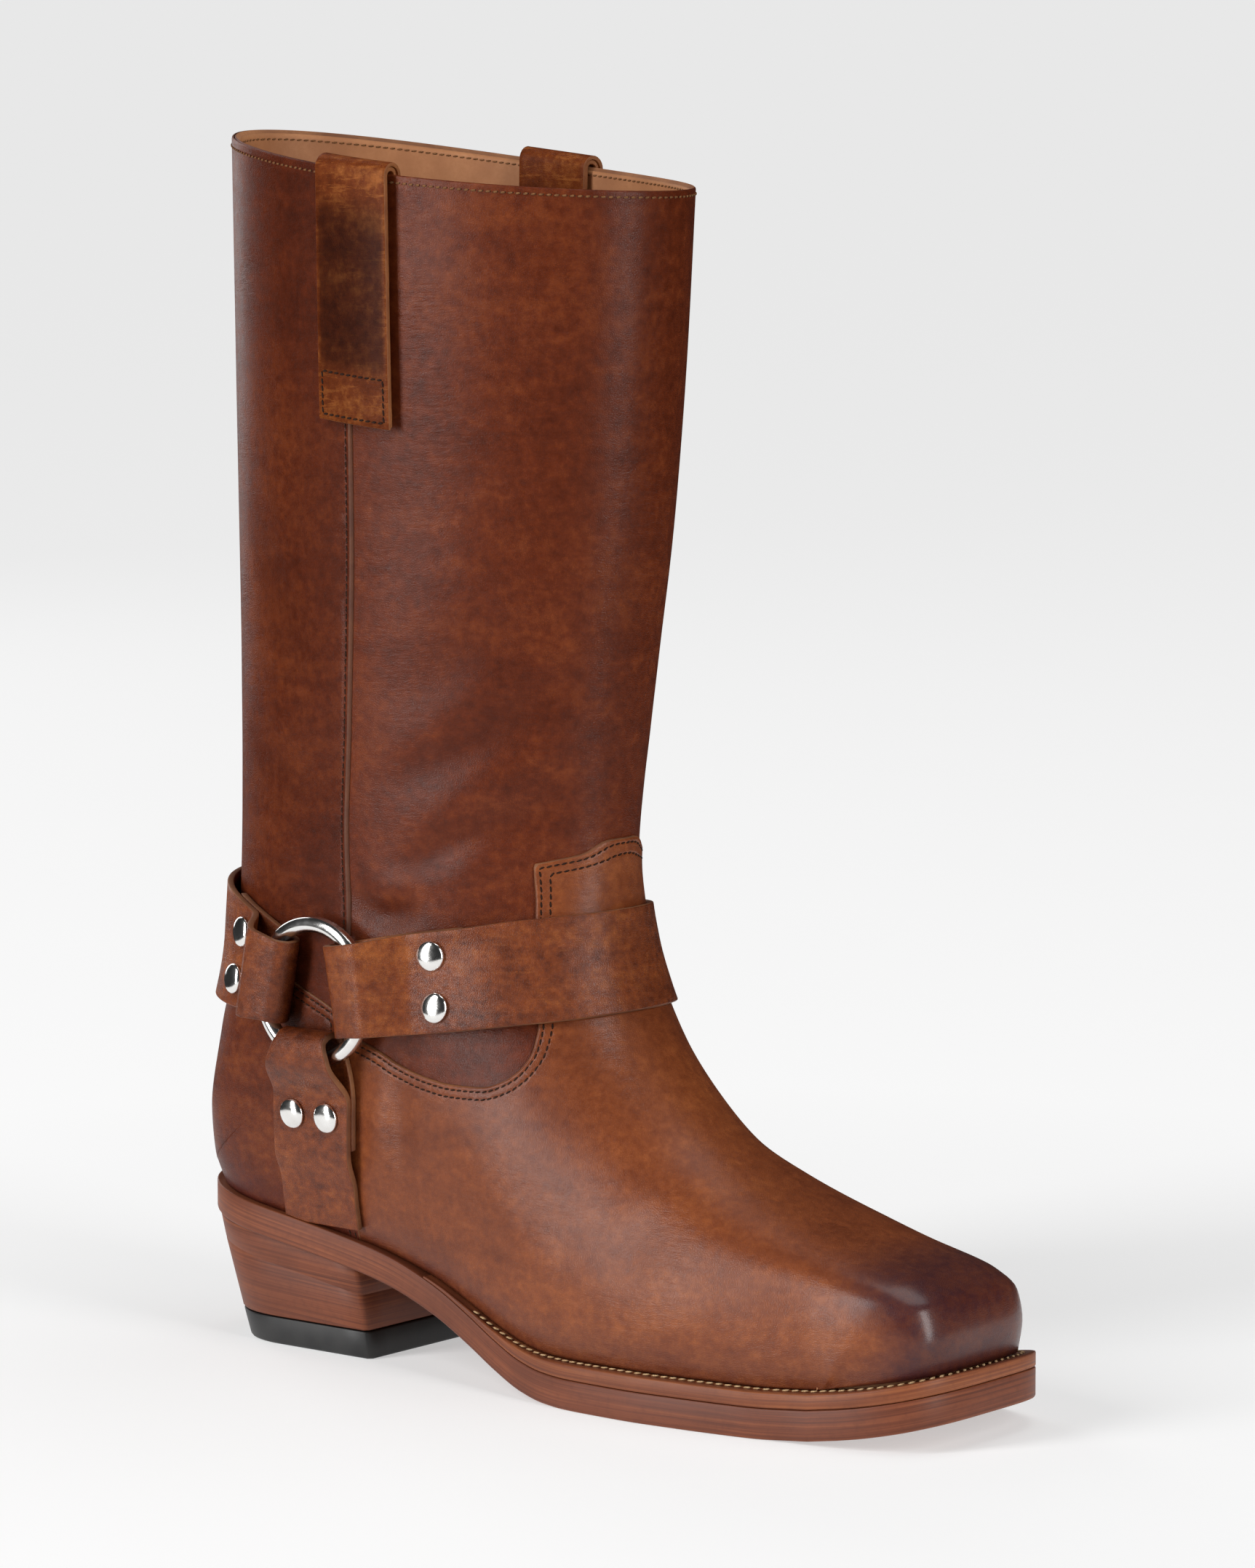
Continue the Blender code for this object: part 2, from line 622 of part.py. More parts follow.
def fold_profile(strap, lift, sideways=0.0):
    """Strap from its returned end, round the ring wire, to the end of the double layer."""
    low = STRAP_GAP + STRAP_THICKNESS / 2
    double = low + STRAP_THICKNESS + LAYER_GAP
    turn_radius = RING_WIRE_RADIUS + RING_CLEARANCE + STRAP_THICKNESS / 2
    reach = strap.fold_width / 2 + abs(sideways)
    turn_s = math.sqrt(RING_RADIUS ** 2 - reach ** 2) - RING_CLEARANCE
    centre_h = ring_height()
    count = max(2, round((strap.return_end - turn_s) / STRAP_PITCH))
    profile = [(s, low) for s in np.linspace(strap.return_end, turn_s, count + 1)]
    for k in range(1, FOLD_TURNS):
        angle = math.pi * k / FOLD_TURNS
        profile.append((turn_s - turn_radius * math.sin(angle), centre_h - turn_radius * math.cos(angle)))
    crest = centre_h + turn_radius + lift
    profile.append((turn_s, centre_h + turn_radius))
    profile.append((RING_RADIUS, crest))
    for share in np.linspace(0.0, 1.0, SETTLE_STEPS + 1)[1:]:
        ease = share * share * (3 - 2 * share)
        profile.append((RING_RADIUS + strap.settle * share, crest - (crest - double) * ease))
    profile.append((strap.return_end + RETURN_MARGIN, double))
    return profile, low, double


def ribbon(name, path, profile, width_at, collection, columns=STRAP_COLUMNS, end_at=None):
    """Strap of even thickness that follows a profile of (s, h) pairs along a path."""
    rows = []
    for s, h in profile:
        half = width_at(s) / 2
        rows.append([path.lay(s, w, h)[0] for w in np.linspace(-half, half, columns + 1)])
    if end_at:
        s, h = profile[-1]
        half = width_at(s) / 2
        rows[-1] = [path.lay(end_at(w), w, h)[0] for w in np.linspace(-half, half, columns + 1)]
    verts, faces = grid_mesh(rows)
    thicken(new_object(name, verts, faces, STRAP_LEATHER, collection), STRAP_THICKNESS, 0.0)


def band_strap(name, tree, strap, pivot_x, facing, collection):
    path, length = band_path(tree, pivot_x, strap.slope, facing)
    half, low, double = fold_profile(strap, RING_LIFT)
    settle = strap.return_end + RETURN_MARGIN + STEP_LENGTH
    middle = length / 2
    if settle < middle:
        half.append((settle - STEP_LENGTH / 2, (low + double) / 2))
        half.append((settle, low))
        count = max(1, round((middle - settle) / STRAP_PITCH))
        half += [(s, low) for s in np.linspace(settle, middle, count + 1)[1:]]
    else:
        half.append((middle, double))
    profile = half + [(length - s, h) for s, h in half[-2::-1]]
    width_at = lambda s: strap_width(strap, min(s, length - s))
    ribbon(name, path, profile, width_at, collection)
    for end, place in (("outer", strap.rivets), ("inner", length - strap.rivets)):
        for level, w in (("upper", strap.rivet_spread), ("lower", -strap.rivet_spread)):
            spot = path.lay(place, w, double + STRAP_THICKNESS / 2 + STRAP_GAP)
            make_rivet(f"rivet_{name.split('_')[0]}_{end}_{level}", spot, collection)


def side_strap(word, tree, side, collection):
    path, length = side_path(tree, side)
    half, low, double = fold_profile(SIDE_STRAP, 0.0, RING_X - SIDE_STRAP_TOP_X)
    settle = SIDE_STRAP.return_end + RETURN_MARGIN + STEP_LENGTH

    def end_at(w):
        for s in np.arange(settle, length, SIDE_SEARCH_STEP):
            point = path.place(s, w)
            if point.z < outsole_top(point.x) + 2 * FIT_GAP:
                return s
        return length

    profile = half + [(settle - STEP_LENGTH / 2, (low + double) / 2), (settle, low), (end_at(0.0), low)]
    width_at = lambda s: strap_width(SIDE_STRAP, s)
    ribbon(f"side_strap_{word}", path, profile, width_at, collection, end_at=end_at)
    for level, w in (("front", SIDE_STRAP.rivet_spread), ("rear", -SIDE_STRAP.rivet_spread)):
        spot = path.lay(SIDE_STRAP.rivets, w, double + STRAP_THICKNESS / 2 + STRAP_GAP)
        make_rivet(f"rivet_side_{word}_{level}", spot, collection)


def make_rivet(name, spot, collection):
    """Domed rivet head turned from its half profile."""
    point, normal = spot
    profile = [
        (row.radius_share * RIVET_RADIUS, 0.0, row.height_share * RIVET_HEIGHT)
        for row in RIVET_ROWS
    ]
    obj = new_object(name, profile, [], NICKEL, collection)
    work = bmesh.new()
    work.from_mesh(obj.data)
    work.verts.ensure_lookup_table()
    for a, b in zip(work.verts[:-1], work.verts[1:]):
        work.edges.new((a, b))
    work.to_mesh(obj.data)
    work.free()
    turned = obj.modifiers.new("turned", "SCREW")
    turned.steps = RIVET_STEPS
    turned.render_steps = RIVET_STEPS
    turned.use_merge_vertices = True
    turned.merge_threshold = WELD_DISTANCE
    turned.use_normal_calculate = True
    obj.rotation_euler = normal.to_track_quat("Z", "Y").to_euler()
    obj.location = point * MM


def make_ring(name, tree, side, collection):
    """Ring in the plane of the three strap folds, with its origin at its own centre."""
    height = ring_height()
    spots = []
    reach = math.sqrt(RING_RADIUS ** 2 - (FRONT_STRAP.fold_width / 2) ** 2)
    for dx, dz in ((reach, 0.0), (-reach, 0.0), (0.0, -reach)):
        point, normal = surface_point(tree, (RING_X + dx, 0.0, RING_Z + dz), (0.0, side, 0.0))
        spots.append(point + normal * height)
    axis = (spots[1] - spots[0]).cross(spots[2] - spots[0]).normalized()
    if axis.y * side < 0:
        axis = -axis
    centre = Vector((RING_X, 0.0, RING_Z))
    centre.y = (spots[0] - centre).dot(axis) / axis.y
    bpy.ops.mesh.primitive_torus_add(
        major_radius=RING_RADIUS * MM,
        minor_radius=RING_WIRE_RADIUS * MM,
        major_segments=RING_SEGMENTS,
        minor_segments=WIRE_SEGMENTS,
    )
    obj = bpy.context.active_object
    obj.name = name
    obj.data.name = name
    for owner in list(obj.users_collection):
        owner.objects.unlink(obj)
    collection.objects.link(obj)
    obj.data.materials.append(make_material(name, NICKEL))
    obj.rotation_euler = axis.to_track_quat("Z", "Y").to_euler()
    obj.location = centre * MM


def collar_height(x):
    collar = SECTIONS[-1]
    share = (x - collar.low_x) / (collar.top_x - collar.low_x)
    return collar.low_z + share * (collar.top_z - collar.low_z) - collar.dip * math.sin(math.pi * share)


def pull_strap(name, tree, side, collection):
    """Doubled pull strap that hangs over the collar at the side seam."""

    def place(s, w):
        x = PULL_X + w
        rim = collar_height(x) - RIM_MARGIN
        below = max(s, 0.0)
        point = surface_point(tree, (x, 0.0, rim - below), (0.0, side, 0.0))[0]
        return point + Vector((0.0, 0.0, -min(s, 0.0)))

    path = SurfacePath(place)
    out = STRAP_GAP + STRAP_THICKNESS / 2
    inside = -(UPPER_THICKNESS + STRAP_GAP + STRAP_THICKNESS / 2)
    profile = [(s, out) for s in np.linspace(PULL_OUTSIDE, PULL_BEND, PULL_OUTSIDE_ROWS)]
    radius = (out - inside) / 2
    for angle in np.linspace(0.0, math.pi, PULL_BEND_TURNS):
        profile.append((-PULL_RISE * math.sin(angle), (out + inside) / 2 + radius * math.cos(angle)))
    profile += [(s, inside) for s in np.linspace(PULL_BEND, PULL_INSIDE, PULL_INSIDE_ROWS)]
    ribbon(name, path, profile, lambda s: PULL_WIDTH, collection, PULL_COLUMNS)


def make_harness(collection):
    tree = upper_surface()
    band_strap("front_strap", tree, FRONT_STRAP, FRONT_PIVOT_X, 1, collection)
    band_strap("back_strap", tree, BACK_STRAP, BACK_PIVOT_X, -1, collection)
    for word, side in (("outer", LATERAL), ("inner", MEDIAL)):
        side_strap(word, tree, side, collection)
        make_ring(f"ring_{word}", tree, side, collection)
        pull_strap(f"pull_strap_{word}", tree, side, collection)


def clear_scene():
    for obj in list(bpy.data.objects):
        bpy.data.objects.remove(obj, do_unlink=True)


def build():
    clear_scene()
    collection = bpy.data.collections.new("square_toe_boot")
    bpy.context.scene.collection.children.link(collection)
    make_upper(collection)
    make_sole(collection)
    make_heel(collection)
    make_harness(collection)
    for obj in collection.objects:
        obj.location.x -= ORIGIN_X * MM
        obj.data.shade_smooth()
        obj.data.set_sharp_from_angle(angle=math.radians(SHARP_ANGLE))


build()
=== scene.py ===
import json
import math
from collections import namedtuple

import bmesh
import bpy
import numpy as np
from mathutils import Matrix, Vector
from mathutils.bvhtree import BVHTree


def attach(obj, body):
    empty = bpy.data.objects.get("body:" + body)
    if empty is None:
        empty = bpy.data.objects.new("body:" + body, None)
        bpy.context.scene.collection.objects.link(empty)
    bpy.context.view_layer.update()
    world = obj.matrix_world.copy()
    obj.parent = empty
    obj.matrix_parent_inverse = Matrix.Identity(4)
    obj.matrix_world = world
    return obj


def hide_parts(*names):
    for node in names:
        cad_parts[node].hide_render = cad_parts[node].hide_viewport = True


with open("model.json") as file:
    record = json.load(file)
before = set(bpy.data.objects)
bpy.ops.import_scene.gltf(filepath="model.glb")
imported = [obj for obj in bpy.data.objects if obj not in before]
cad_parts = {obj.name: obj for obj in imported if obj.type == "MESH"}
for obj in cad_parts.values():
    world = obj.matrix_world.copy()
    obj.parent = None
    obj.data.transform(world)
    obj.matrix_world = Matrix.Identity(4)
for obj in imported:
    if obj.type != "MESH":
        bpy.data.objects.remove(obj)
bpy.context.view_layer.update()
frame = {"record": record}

MM = 0.001
ORIGIN_X = 139.2
LATERAL, MEDIAL = -1, 1
SIDES = (("outer", LATERAL), ("inner", MEDIAL))

# The last: outline of its bottom, sole line, heel and sections.
FEATHER_BACK = 3.0
FEATHER_FRONT = 273.0
HEEL_ROUND_X = 36.0
HEEL_ROUND_POWER = 2.3
TOE_AXIS_X = 240.0
TOE_POWER = 4.2
TOE_TAPER = 0.135
OUTSOLE_THICKNESS = 8.9
UPPER_THICKNESS = 2.4
LIFT_THICKNESS = 8.3
FIT_GAP = 0.3
INSOLE_RISE = 2.0
INSOLE_GAP = 1.0
WELT_END_X = 98.0

FootRow = namedtuple("FootRow", "x lateral medial welt_width")
FOOT_ROWS = [
    FootRow(3.0, 29.0, 29.0, 3.0),
    FootRow(36.0, 30.0, 30.0, 3.0),
    FootRow(72.0, 29.6, 28.8, 2.9),
    FootRow(100.0, 31.2, 27.4, 3.0),
    FootRow(125.0, 33.8, 28.6, 3.8),
    FootRow(150.0, 37.4, 33.4, 4.9),
    FootRow(165.0, 39.0, 36.8, 5.3),
    FootRow(180.0, 39.2, 39.2, 5.5),
    FootRow(200.0, 37.6, 39.9, 5.7),
    FootRow(217.0, 35.2, 38.3, 5.9),
    FootRow(240.0, 31.0, 33.4, 6.2),
    FootRow(273.0, 30.0, 32.5, 5.4),
]

SoleRow = namedtuple("SoleRow", "x bottom welt")
SOLE_ROWS = [
    SoleRow(0.0, 39.0, 0.0),
    SoleRow(36.0, 33.6, 0.0),
    SoleRow(72.0, 27.4, 0.0),
    SoleRow(86.0, 24.3, 0.3),
    SoleRow(103.0, 18.6, 1.2),
    SoleRow(118.0, 11.8, 1.9),
    SoleRow(129.0, 6.4, 2.7),
    SoleRow(140.0, 2.3, 3.6),
    SoleRow(150.0, 0.4, 4.3),
    SoleRow(158.0, 0.0, 4.6),
    SoleRow(190.0, 0.0, 4.7),
    SoleRow(222.0, 0.0, 4.7),
    SoleRow(238.0, 0.8, 4.7),
    SoleRow(253.0, 2.9, 4.7),
    SoleRow(266.0, 5.5, 4.7),
    SoleRow(278.0, 8.5, 4.7),
]

HeelRow = namedtuple("HeelRow", "z back half_width breast")
HEEL_ROWS = [
    HeelRow(0.0, 12.8, 26.4, 72.0),
    HeelRow(8.3, 9.6, 27.3, 71.3),
    HeelRow(20.0, 5.4, 29.0, 70.2),
    HeelRow(39.0, 0.7, 31.6, 69.0),
]

# Sections of the last, toe to collar. Each plane runs from its lower or rear end to its
# upper or front end. A low_z of None lies on the feather line of the sole.
Section = namedtuple(
    "Section",
    "name low_x low_z top_x top_z wide_lateral wide_medial wide_at foot_share top_power taper dip",
)
SECTIONS = [
    Section("toe edge", 240.0, None, 273.0, 21.3, 31.1, 33.5, 0.05, 1.0, 4.2, 0.135, 0.0),
    Section("toe wall", 240.0, None, 274.0, 31.0, 31.3, 33.7, 0.08, 1.0, 4.4, 0.13, 0.0),
    Section("toe brow", 240.0, None, 271.5, 40.2, 31.6, 33.6, 0.14, 1.0, 4.4, 0.11, 0.0),
    Section("toe top", 240.0, None, 263.0, 45.4, 32.0, 34.0, 0.22, 1.0, 4.0, 0.06, 0.0),
    Section("toe box", 240.0, None, 241.0, 51.4, 32.4, 34.8, 0.30, 1.0, 3.2, 0.0, 0.0),
    Section("vamp", 215.0, None, 219.0, 58.4, 37.2, 40.2, 0.30, 1.0, 2.6, 0.0, 0.0),
    Section("ball", 188.0, None, 198.0, 67.0, 41.0, 42.2, 0.29, 1.0, 2.25, 0.0, 0.0),
    Section("ball rear", 165.0, None, 182.0, 77.2, 41.6, 40.6, 0.29, 1.0, 2.0, 0.0, 0.0),
    Section("instep", 143.0, None, 168.0, 91.2, 40.8, 39.6, 0.32, 1.0, 2.0, 0.0, 0.0),
    Section("instep rear", 120.0, None, 157.0, 106.4, 39.6, 38.6, 0.37, 1.0, 2.0, 0.0, 0.0),
    Section("waist", 96.0, None, 150.6, 121.0, 38.6, 38.0, 0.42, 1.0, 2.0, 0.0, 0.0),
    Section("throat", 68.0, None, 147.8, 133.0, 38.2, 37.8, 0.46, 1.0, 2.0, 0.0, 0.0),
    Section("long heel", 38.0, None, 147.0, 143.0, 38.0, 37.6, 0.49, 1.0, 2.0, 0.0, 0.0),
    Section("heel side", 17.0, None, 146.9, 149.0, 38.0, 37.6, 0.50, 1.0, 2.0, 0.0, 0.0),
    Section("heel turn", 6.0, None, 147.0, 153.0, 38.0, 37.6, 0.50, 1.0, 2.0, 0.0, 0.0),
    Section("heel seat", 3.0, None, 147.1, 156.0, 38.0, 37.6, 0.50, 1.0, 2.0, 0.0, 0.0),
    Section("counter", 0.9, 64.0, 147.6, 163.0, 38.2, 37.8, 0.50, 1.0, 2.0, 0.0, 0.0),
    Section("counter top", 4.3, 88.0, 149.0, 177.0, 38.6, 38.2, 0.50, 0.85, 2.0, 0.0, 0.0),
    Section("ankle", 8.7, 116.0, 151.0, 193.0, 39.6, 39.2, 0.50, 0.5, 2.0, 0.0, 0.0),
    Section("shaft low", 9.0, 158.0, 154.0, 217.0, 41.6, 41.4, 0.50, 0.15, 2.0, 0.0, 0.0),
    Section("shaft", 8.9, 214.0, 158.2, 249.0, 44.0, 44.0, 0.50, 0.0, 2.0, 0.0, 0.0),
    Section("shaft high", 8.3, 284.0, 162.4, 296.0, 46.0, 46.2, 0.50, 0.0, 2.0, 0.0, 0.8),
    Section("collar", 7.4, 360.5, 165.4, 345.5, 47.2, 47.6, 0.50, 0.0, 2.0, 0.0, 2.0),
]
SECTION_NAMES = [section.name for section in SECTIONS]
SECTION_SAMPLES = 161
COLLAR_SECTION_HEIGHT = SECTIONS[-1].low_z - SECTIONS[-2].low_z
TURN_WEIGHT = 25.0

# Harness: straps, ring and studs.
STRAP_THICKNESS = 2.0
STRAP_GAP = 0.45
LAYER_GAP = 0.2
RING_RADIUS = 20.0
RING_WIRE_RADIUS = 2.4
RING_CLEARANCE = 1.0
RING_X = 65.5
RING_Z = 111.5
RING_LIFT = 1.8
RETURN_MARGIN = 1.5
STEP_LENGTH = 11.0
SOFT_STEP = 30.0
WIDEN_START = 14.0
Strap = namedtuple("Strap", "fold_width far_width widen_over slope settle studs return_end stud_spread")
FRONT_STRAP = Strap(27.5, 30.0, 30.0, 0.15, 15.0, 42.0, 52.0, 7.7)
BACK_STRAP = Strap(25.0, 35.0, 46.0, -0.20, 11.0, 34.0, 43.0, 7.4)
SIDE_STRAP = Strap(18.4, 29.5, 20.0, 0.0, 12.0, 37.0, 47.0, 6.7)
FRONT_PIVOT_X = 84.0
BACK_PIVOT_X = 48.0
SIDE_STRAP_TOP_X = 64.9
SIDE_STRAP_FOOT_X = 58.8
BAND_SWEEP = 125.0
SIDE_PATH_ABOVE = 30.0
SIDE_PATH_FOOT_Z = 40.0
SIDE_PATH_MARGIN = 1.0
STRAP_PITCH = 2.5
STRAP_COLUMNS = 14
FOLD_TURNS = 16
SETTLE_STEPS = 10
LEAST_STEPS = 6
STRAP_EDGE_ROUND = 0.4
END_SEARCH_STEP = 0.1
END_SEARCH_COLUMNS = 5
RING_STEPS = 96
RING_WIRE_SEGMENTS = 20
STUD_STEPS = 32
STUD_PROFILE = [
    (0.0, -0.4), (4.2, -0.4), (4.42, -0.25), (4.5, 0.1), (4.38, 0.5),
    (3.9, 0.92), (3.1, 1.26), (2.1, 1.48), (1.0, 1.58), (0.0, 1.6),
]
NORMAL_STEP = 3.0
CAST_DISTANCE = 300.0

# Pull straps at the collar.
PULL_X = 86.0
PULL_WIDTH = 25.5
PULL_OUTSIDE = 72.0
PULL_INSIDE = 52.0
PULL_RISE = 1.4
PULL_BEND = 4.0
RIM_MARGIN = 0.5

# Levels of the leather panels against the face of the last.
SHAFT_LEVEL = -0.8
BACK_LEVEL = 0.0
VAMP_LEVEL = 0.25
COUNTER_LEVEL = 0.6
PANEL_BACKING = 0.5
RIM_ROUND = 0.9
RIM_SETBACK = 0.45

# Seam lines, in side view.
SeamRow = namedtuple("SeamRow", "z x")
SIDE_SEAM = [
    SeamRow(60.0, 69.5),
    SeamRow(98.8, 70.9),
    SeamRow(117.3, 71.6),
    SeamRow(133.0, 73.0),
    SeamRow(156.0, 73.3),
    SeamRow(188.9, 76.2),
    SeamRow(246.9, 80.0),
    SeamRow(277.0, 80.6),
    SeamRow(360.0, 83.0),
]
SEAM_LAP = 2.2
CounterRow = namedtuple("CounterRow", "x z")
COUNTER_EDGE = [
    CounterRow(-5.0, 131.0),
    CounterRow(30.0, 121.5),
    CounterRow(57.5, 110.8),
    CounterRow(64.5, 108.0),
    CounterRow(71.5, 104.6),
]
COUNTER_FRONT_X = 71.5
COUNTER_SLANT = 0.93
VAMP_SCALLOP = [
    (66.0, 100.6),
    (75.0, 98.6),
    (85.4, 95.4),
    (94.0, 91.9),
    (103.5, 89.5),
    (113.2, 88.4),
    (122.7, 88.6),
    (130.3, 91.0),
    (135.3, 95.1),
    (137.7, 100.1),
    (138.0, 105.0),
    (136.4, 116.0),
    (133.6, 130.0),
    (132.4, 142.0),
    (131.9, 152.6),
]
VAMP_TAB_TOP = [(131.9, 152.6), (137.0, 153.9), (142.5, 155.5), (146.9, 159.3), (160.0, 159.3)]
VAMP_REST = [(330.0, 159.3), (330.0, -30.0), (66.0, -30.0)]
VAMP_LINE_STEP = 1.5

# Height of a panel from its cut edge inwards, and the rows of stitches in it.
EdgeStep = namedtuple("EdgeStep", "distance share")
EDGE_STEPS = [
    EdgeStep(0.0, -0.3),
    EdgeStep(0.12, 0.55),
    EdgeStep(0.35, 0.88),
    EdgeStep(0.75, 1.0),
]
CUT_WIDTH = 0.35
SEAM_EDGE_WIDTH = 1.15
STITCH_GROOVE = 0.22
STITCH_GROOVE_WIDTH = 0.45
DOUBLE_ROW = (1.5, 3.7)
SINGLE_ROW = (2.2,)

# Creases, in side view: a line of (x, z) points, its half width and depth.
Crease = namedtuple("Crease", "side width depth line")
CREASES = [
    Crease(LATERAL, 7.0, -0.7, ((87, 172), (100, 178), (115, 186), (130, 197), (141, 207))),
    Crease(LATERAL, 8.0, 0.4, ((90, 185), (104, 191), (118, 200), (132, 211))),
    Crease(LATERAL, 6.0, -0.75, ((93, 145), (106, 155), (117, 161), (137, 169))),
    Crease(LATERAL, 7.0, 0.45, ((98, 164), (114, 172), (130, 182), (142, 190))),
    Crease(LATERAL, 7.0, 0.6, ((107, 148), (114, 151), (121, 156))),
    Crease(LATERAL, 4.0, -1.3, ((78, 141), (86, 135), (98, 137))),
    Crease(LATERAL, 4.0, 0.5, ((84, 143), (96, 146), (104, 147))),
    Crease(LATERAL, 13.0, -0.5, ((99, 200), (114, 209), (127, 221))),
    Crease(LATERAL, 9.0, -0.5, ((36, 246), (50, 226), (60, 204))),
    Crease(LATERAL, 8.0, -0.45, ((26, 180), (48, 174), (68, 169))),
    Crease(LATERAL, 9.0, 0.35, ((24, 196), (46, 190), (66, 184))),
    Crease(LATERAL, 14.0, -0.5, ((133, 82), (146, 61), (166, 46), (199, 44), (229, 41))),
    Crease(LATERAL, 14.0, 0.35, ((118, 76), (125, 63), (148, 44), (180, 35), (218, 34))),
    Crease(LATERAL, 5.0, 0.6, ((87, 88), (86, 72), (88, 56))),
    Crease(LATERAL, 5.0, -0.6, ((94, 86), (93, 70), (96, 54))),
    Crease(LATERAL, 7.0, -0.45, ((112, 60), (122, 49), (140, 36))),
    Crease(MEDIAL, 7.0, -0.7, ((86, 166), (102, 174), (118, 180), (134, 194))),
    Crease(MEDIAL, 8.0, 0.4, ((92, 182), (108, 188), (124, 197))),
    Crease(MEDIAL, 6.0, -0.75, ((92, 148), (106, 153), (120, 160), (138, 166))),
    Crease(MEDIAL, 12.0, -0.5, ((96, 214), (112, 219), (128, 232))),
    Crease(MEDIAL, 8.0, -0.5, ((30, 236), (46, 222), (62, 214))),
    Crease(MEDIAL, 14.0, -0.5, ((128, 80), (142, 60), (164, 47), (196, 44), (226, 42))),
    Crease(MEDIAL, 14.0, 0.35, ((112, 72), (124, 58), (146, 43), (182, 35))),
    Crease(MEDIAL, 5.0, -0.6, ((92, 86), (92, 70), (96, 52))),
]
CREASE_STEP = 2.0
CREASE_GAIN = 1.4
CREASE_FADE_POWER = 0.6

# Burnish, as shares of full dark: over the toe, along the sole and round the heel.
TOE_BURNISH_X = 253.0
TOE_BURNISH_LEAN = 20.0
TOE_LEAN_RANGE = (28.0, 48.0)
TOE_BURNISH_FADE = 24.0
FOOT_BURNISH = 0.45
FOOT_BURNISH_RANGE = (2.0, 16.0)
HEEL_BURNISH = 0.35
HEEL_BURNISH_RANGE = (10.0, 46.0)
HEEL_BURNISH_TOP = 110.0
# Cap on the crease depth kept for the painted shade in the hollows, in millimetres.
CREASE_SHADE_LIMIT = 1.5

# Mesh fineness.
WALL_PITCH = 2.7
WALL_COLUMNS = 78
PANEL_PITCH = 2.1
BACK_PANEL_PITCH = 2.6
PANEL_COLUMNS = 96
PANEL_SPARE = 8.0
PLACE_COLUMNS = 8
LEAST_PLACES = 3
SHORTEST_CHAIN = 3
SNAP = 0.004
WELD = 0.02
FINE_WELD = 0.001
BEVEL_ANGLE = 50.0
BEVEL_SEGMENTS = 2
EDGE_SHARP_ANGLE = 50
SOLE_SHARP_ANGLE = 55
STUD_SHARP_ANGLE = 60
BOOT_MIDDLE = Vector((90.0, 0.0, 130.0))


def monotone_curve(xs, ys):
    """Smooth curve through the points of a table that adds no bumps of its own."""
    xs = np.asarray(xs, float)
    ys = np.asarray(ys, float)
    gaps = np.diff(xs)
    slopes = np.diff(ys) / gaps
    tangents = np.zeros(len(xs))
    tangents[0] = slopes[0]
    tangents[-1] = slopes[-1]
    for i in range(1, len(xs) - 1):
        if slopes[i - 1] * slopes[i] > 0:
            near = 2 * gaps[i] + gaps[i - 1]
            far = gaps[i] + 2 * gaps[i - 1]
            tangents[i] = (near + far) / (near / slopes[i - 1] + far / slopes[i])

    def value(x):
        x = np.clip(np.asarray(x, float), xs[0], xs[-1])
        i = np.clip(np.searchsorted(xs, x, side="right") - 1, 0, len(xs) - 2)
        t = (x - xs[i]) / gaps[i]
        rise = (1 + 2 * t) * (1 - t) ** 2 * ys[i] + t * t * (3 - 2 * t) * ys[i + 1]
        lean = t * (1 - t) ** 2 * tangents[i] - t * t * (1 - t) * tangents[i + 1]
        return rise + gaps[i] * lean

    return value


def table_curve(rows, key, column):
    return monotone_curve([getattr(r, key) for r in rows], [getattr(r, column) for r in rows])


foot_lateral = table_curve(FOOT_ROWS, "x", "lateral")
foot_medial = table_curve(FOOT_ROWS, "x", "medial")
welt_width = table_curve(FOOT_ROWS, "x", "welt_width")
sole_bottom = table_curve(SOLE_ROWS, "x", "bottom")
welt_thickness = table_curve(SOLE_ROWS, "x", "welt")
heel_back = table_curve(HEEL_ROWS, "z", "back")
heel_half_width = table_curve(HEEL_ROWS, "z", "half_width")
heel_breast = table_curve(HEEL_ROWS, "z", "breast")
seam_x = table_curve(SIDE_SEAM, "z", "x")
counter_edge_z = table_curve(COUNTER_EDGE, "x", "z")


def outsole_top(x):
    return sole_bottom(x) + OUTSOLE_THICKNESS


def feather_height(x):
    return outsole_top(x) + welt_thickness(x) + FIT_GAP


def smooth_step(low, high, value):
    t = np.clip((np.asarray(value, float) - low) / (high - low), 0.0, 1.0)
    return t * t * (3 - 2 * t)


def feather_half_width(x, side):
    """Half width of the bottom of the last, rounded at the heel and square at the toe."""
    x = np.asarray(x, float)
    table = foot_lateral if side == LATERAL else foot_medial
    back = np.clip((HEEL_ROUND_X - x) / (HEEL_ROUND_X - FEATHER_BACK), 0.0, 1.0)
    front = np.clip((x - TOE_AXIS_X) / (FEATHER_FRONT - TOE_AXIS_X), 0.0, 1.0)
    half = table(np.minimum(x, TOE_AXIS_X))
    half = half * (1 - back ** HEEL_ROUND_POWER) ** (1 / HEEL_ROUND_POWER)
    return half * (1 - TOE_TAPER * front) * (1 - front ** TOE_POWER) ** (1 / TOE_POWER)


def collar_height(x):
    collar = SECTIONS[-1]
    share = np.clip((x - collar.low_x) / (collar.top_x - collar.low_x), 0.0, 1.0)
    return collar.low_z + share * (collar.top_z - collar.low_z) - collar.dip * np.sin(np.pi * share)


# The face of the last.

def section_curves():
    curves = {}
    for column in Section._fields[1:]:
        values = []
        for row in SECTIONS:
            value = getattr(row, column)
            values.append(float(feather_height(row.low_x)) if value is None else value)
        curves[column] = monotone_curve(range(len(SECTIONS)), values)
    return curves


SECTION_CURVES = section_curves()


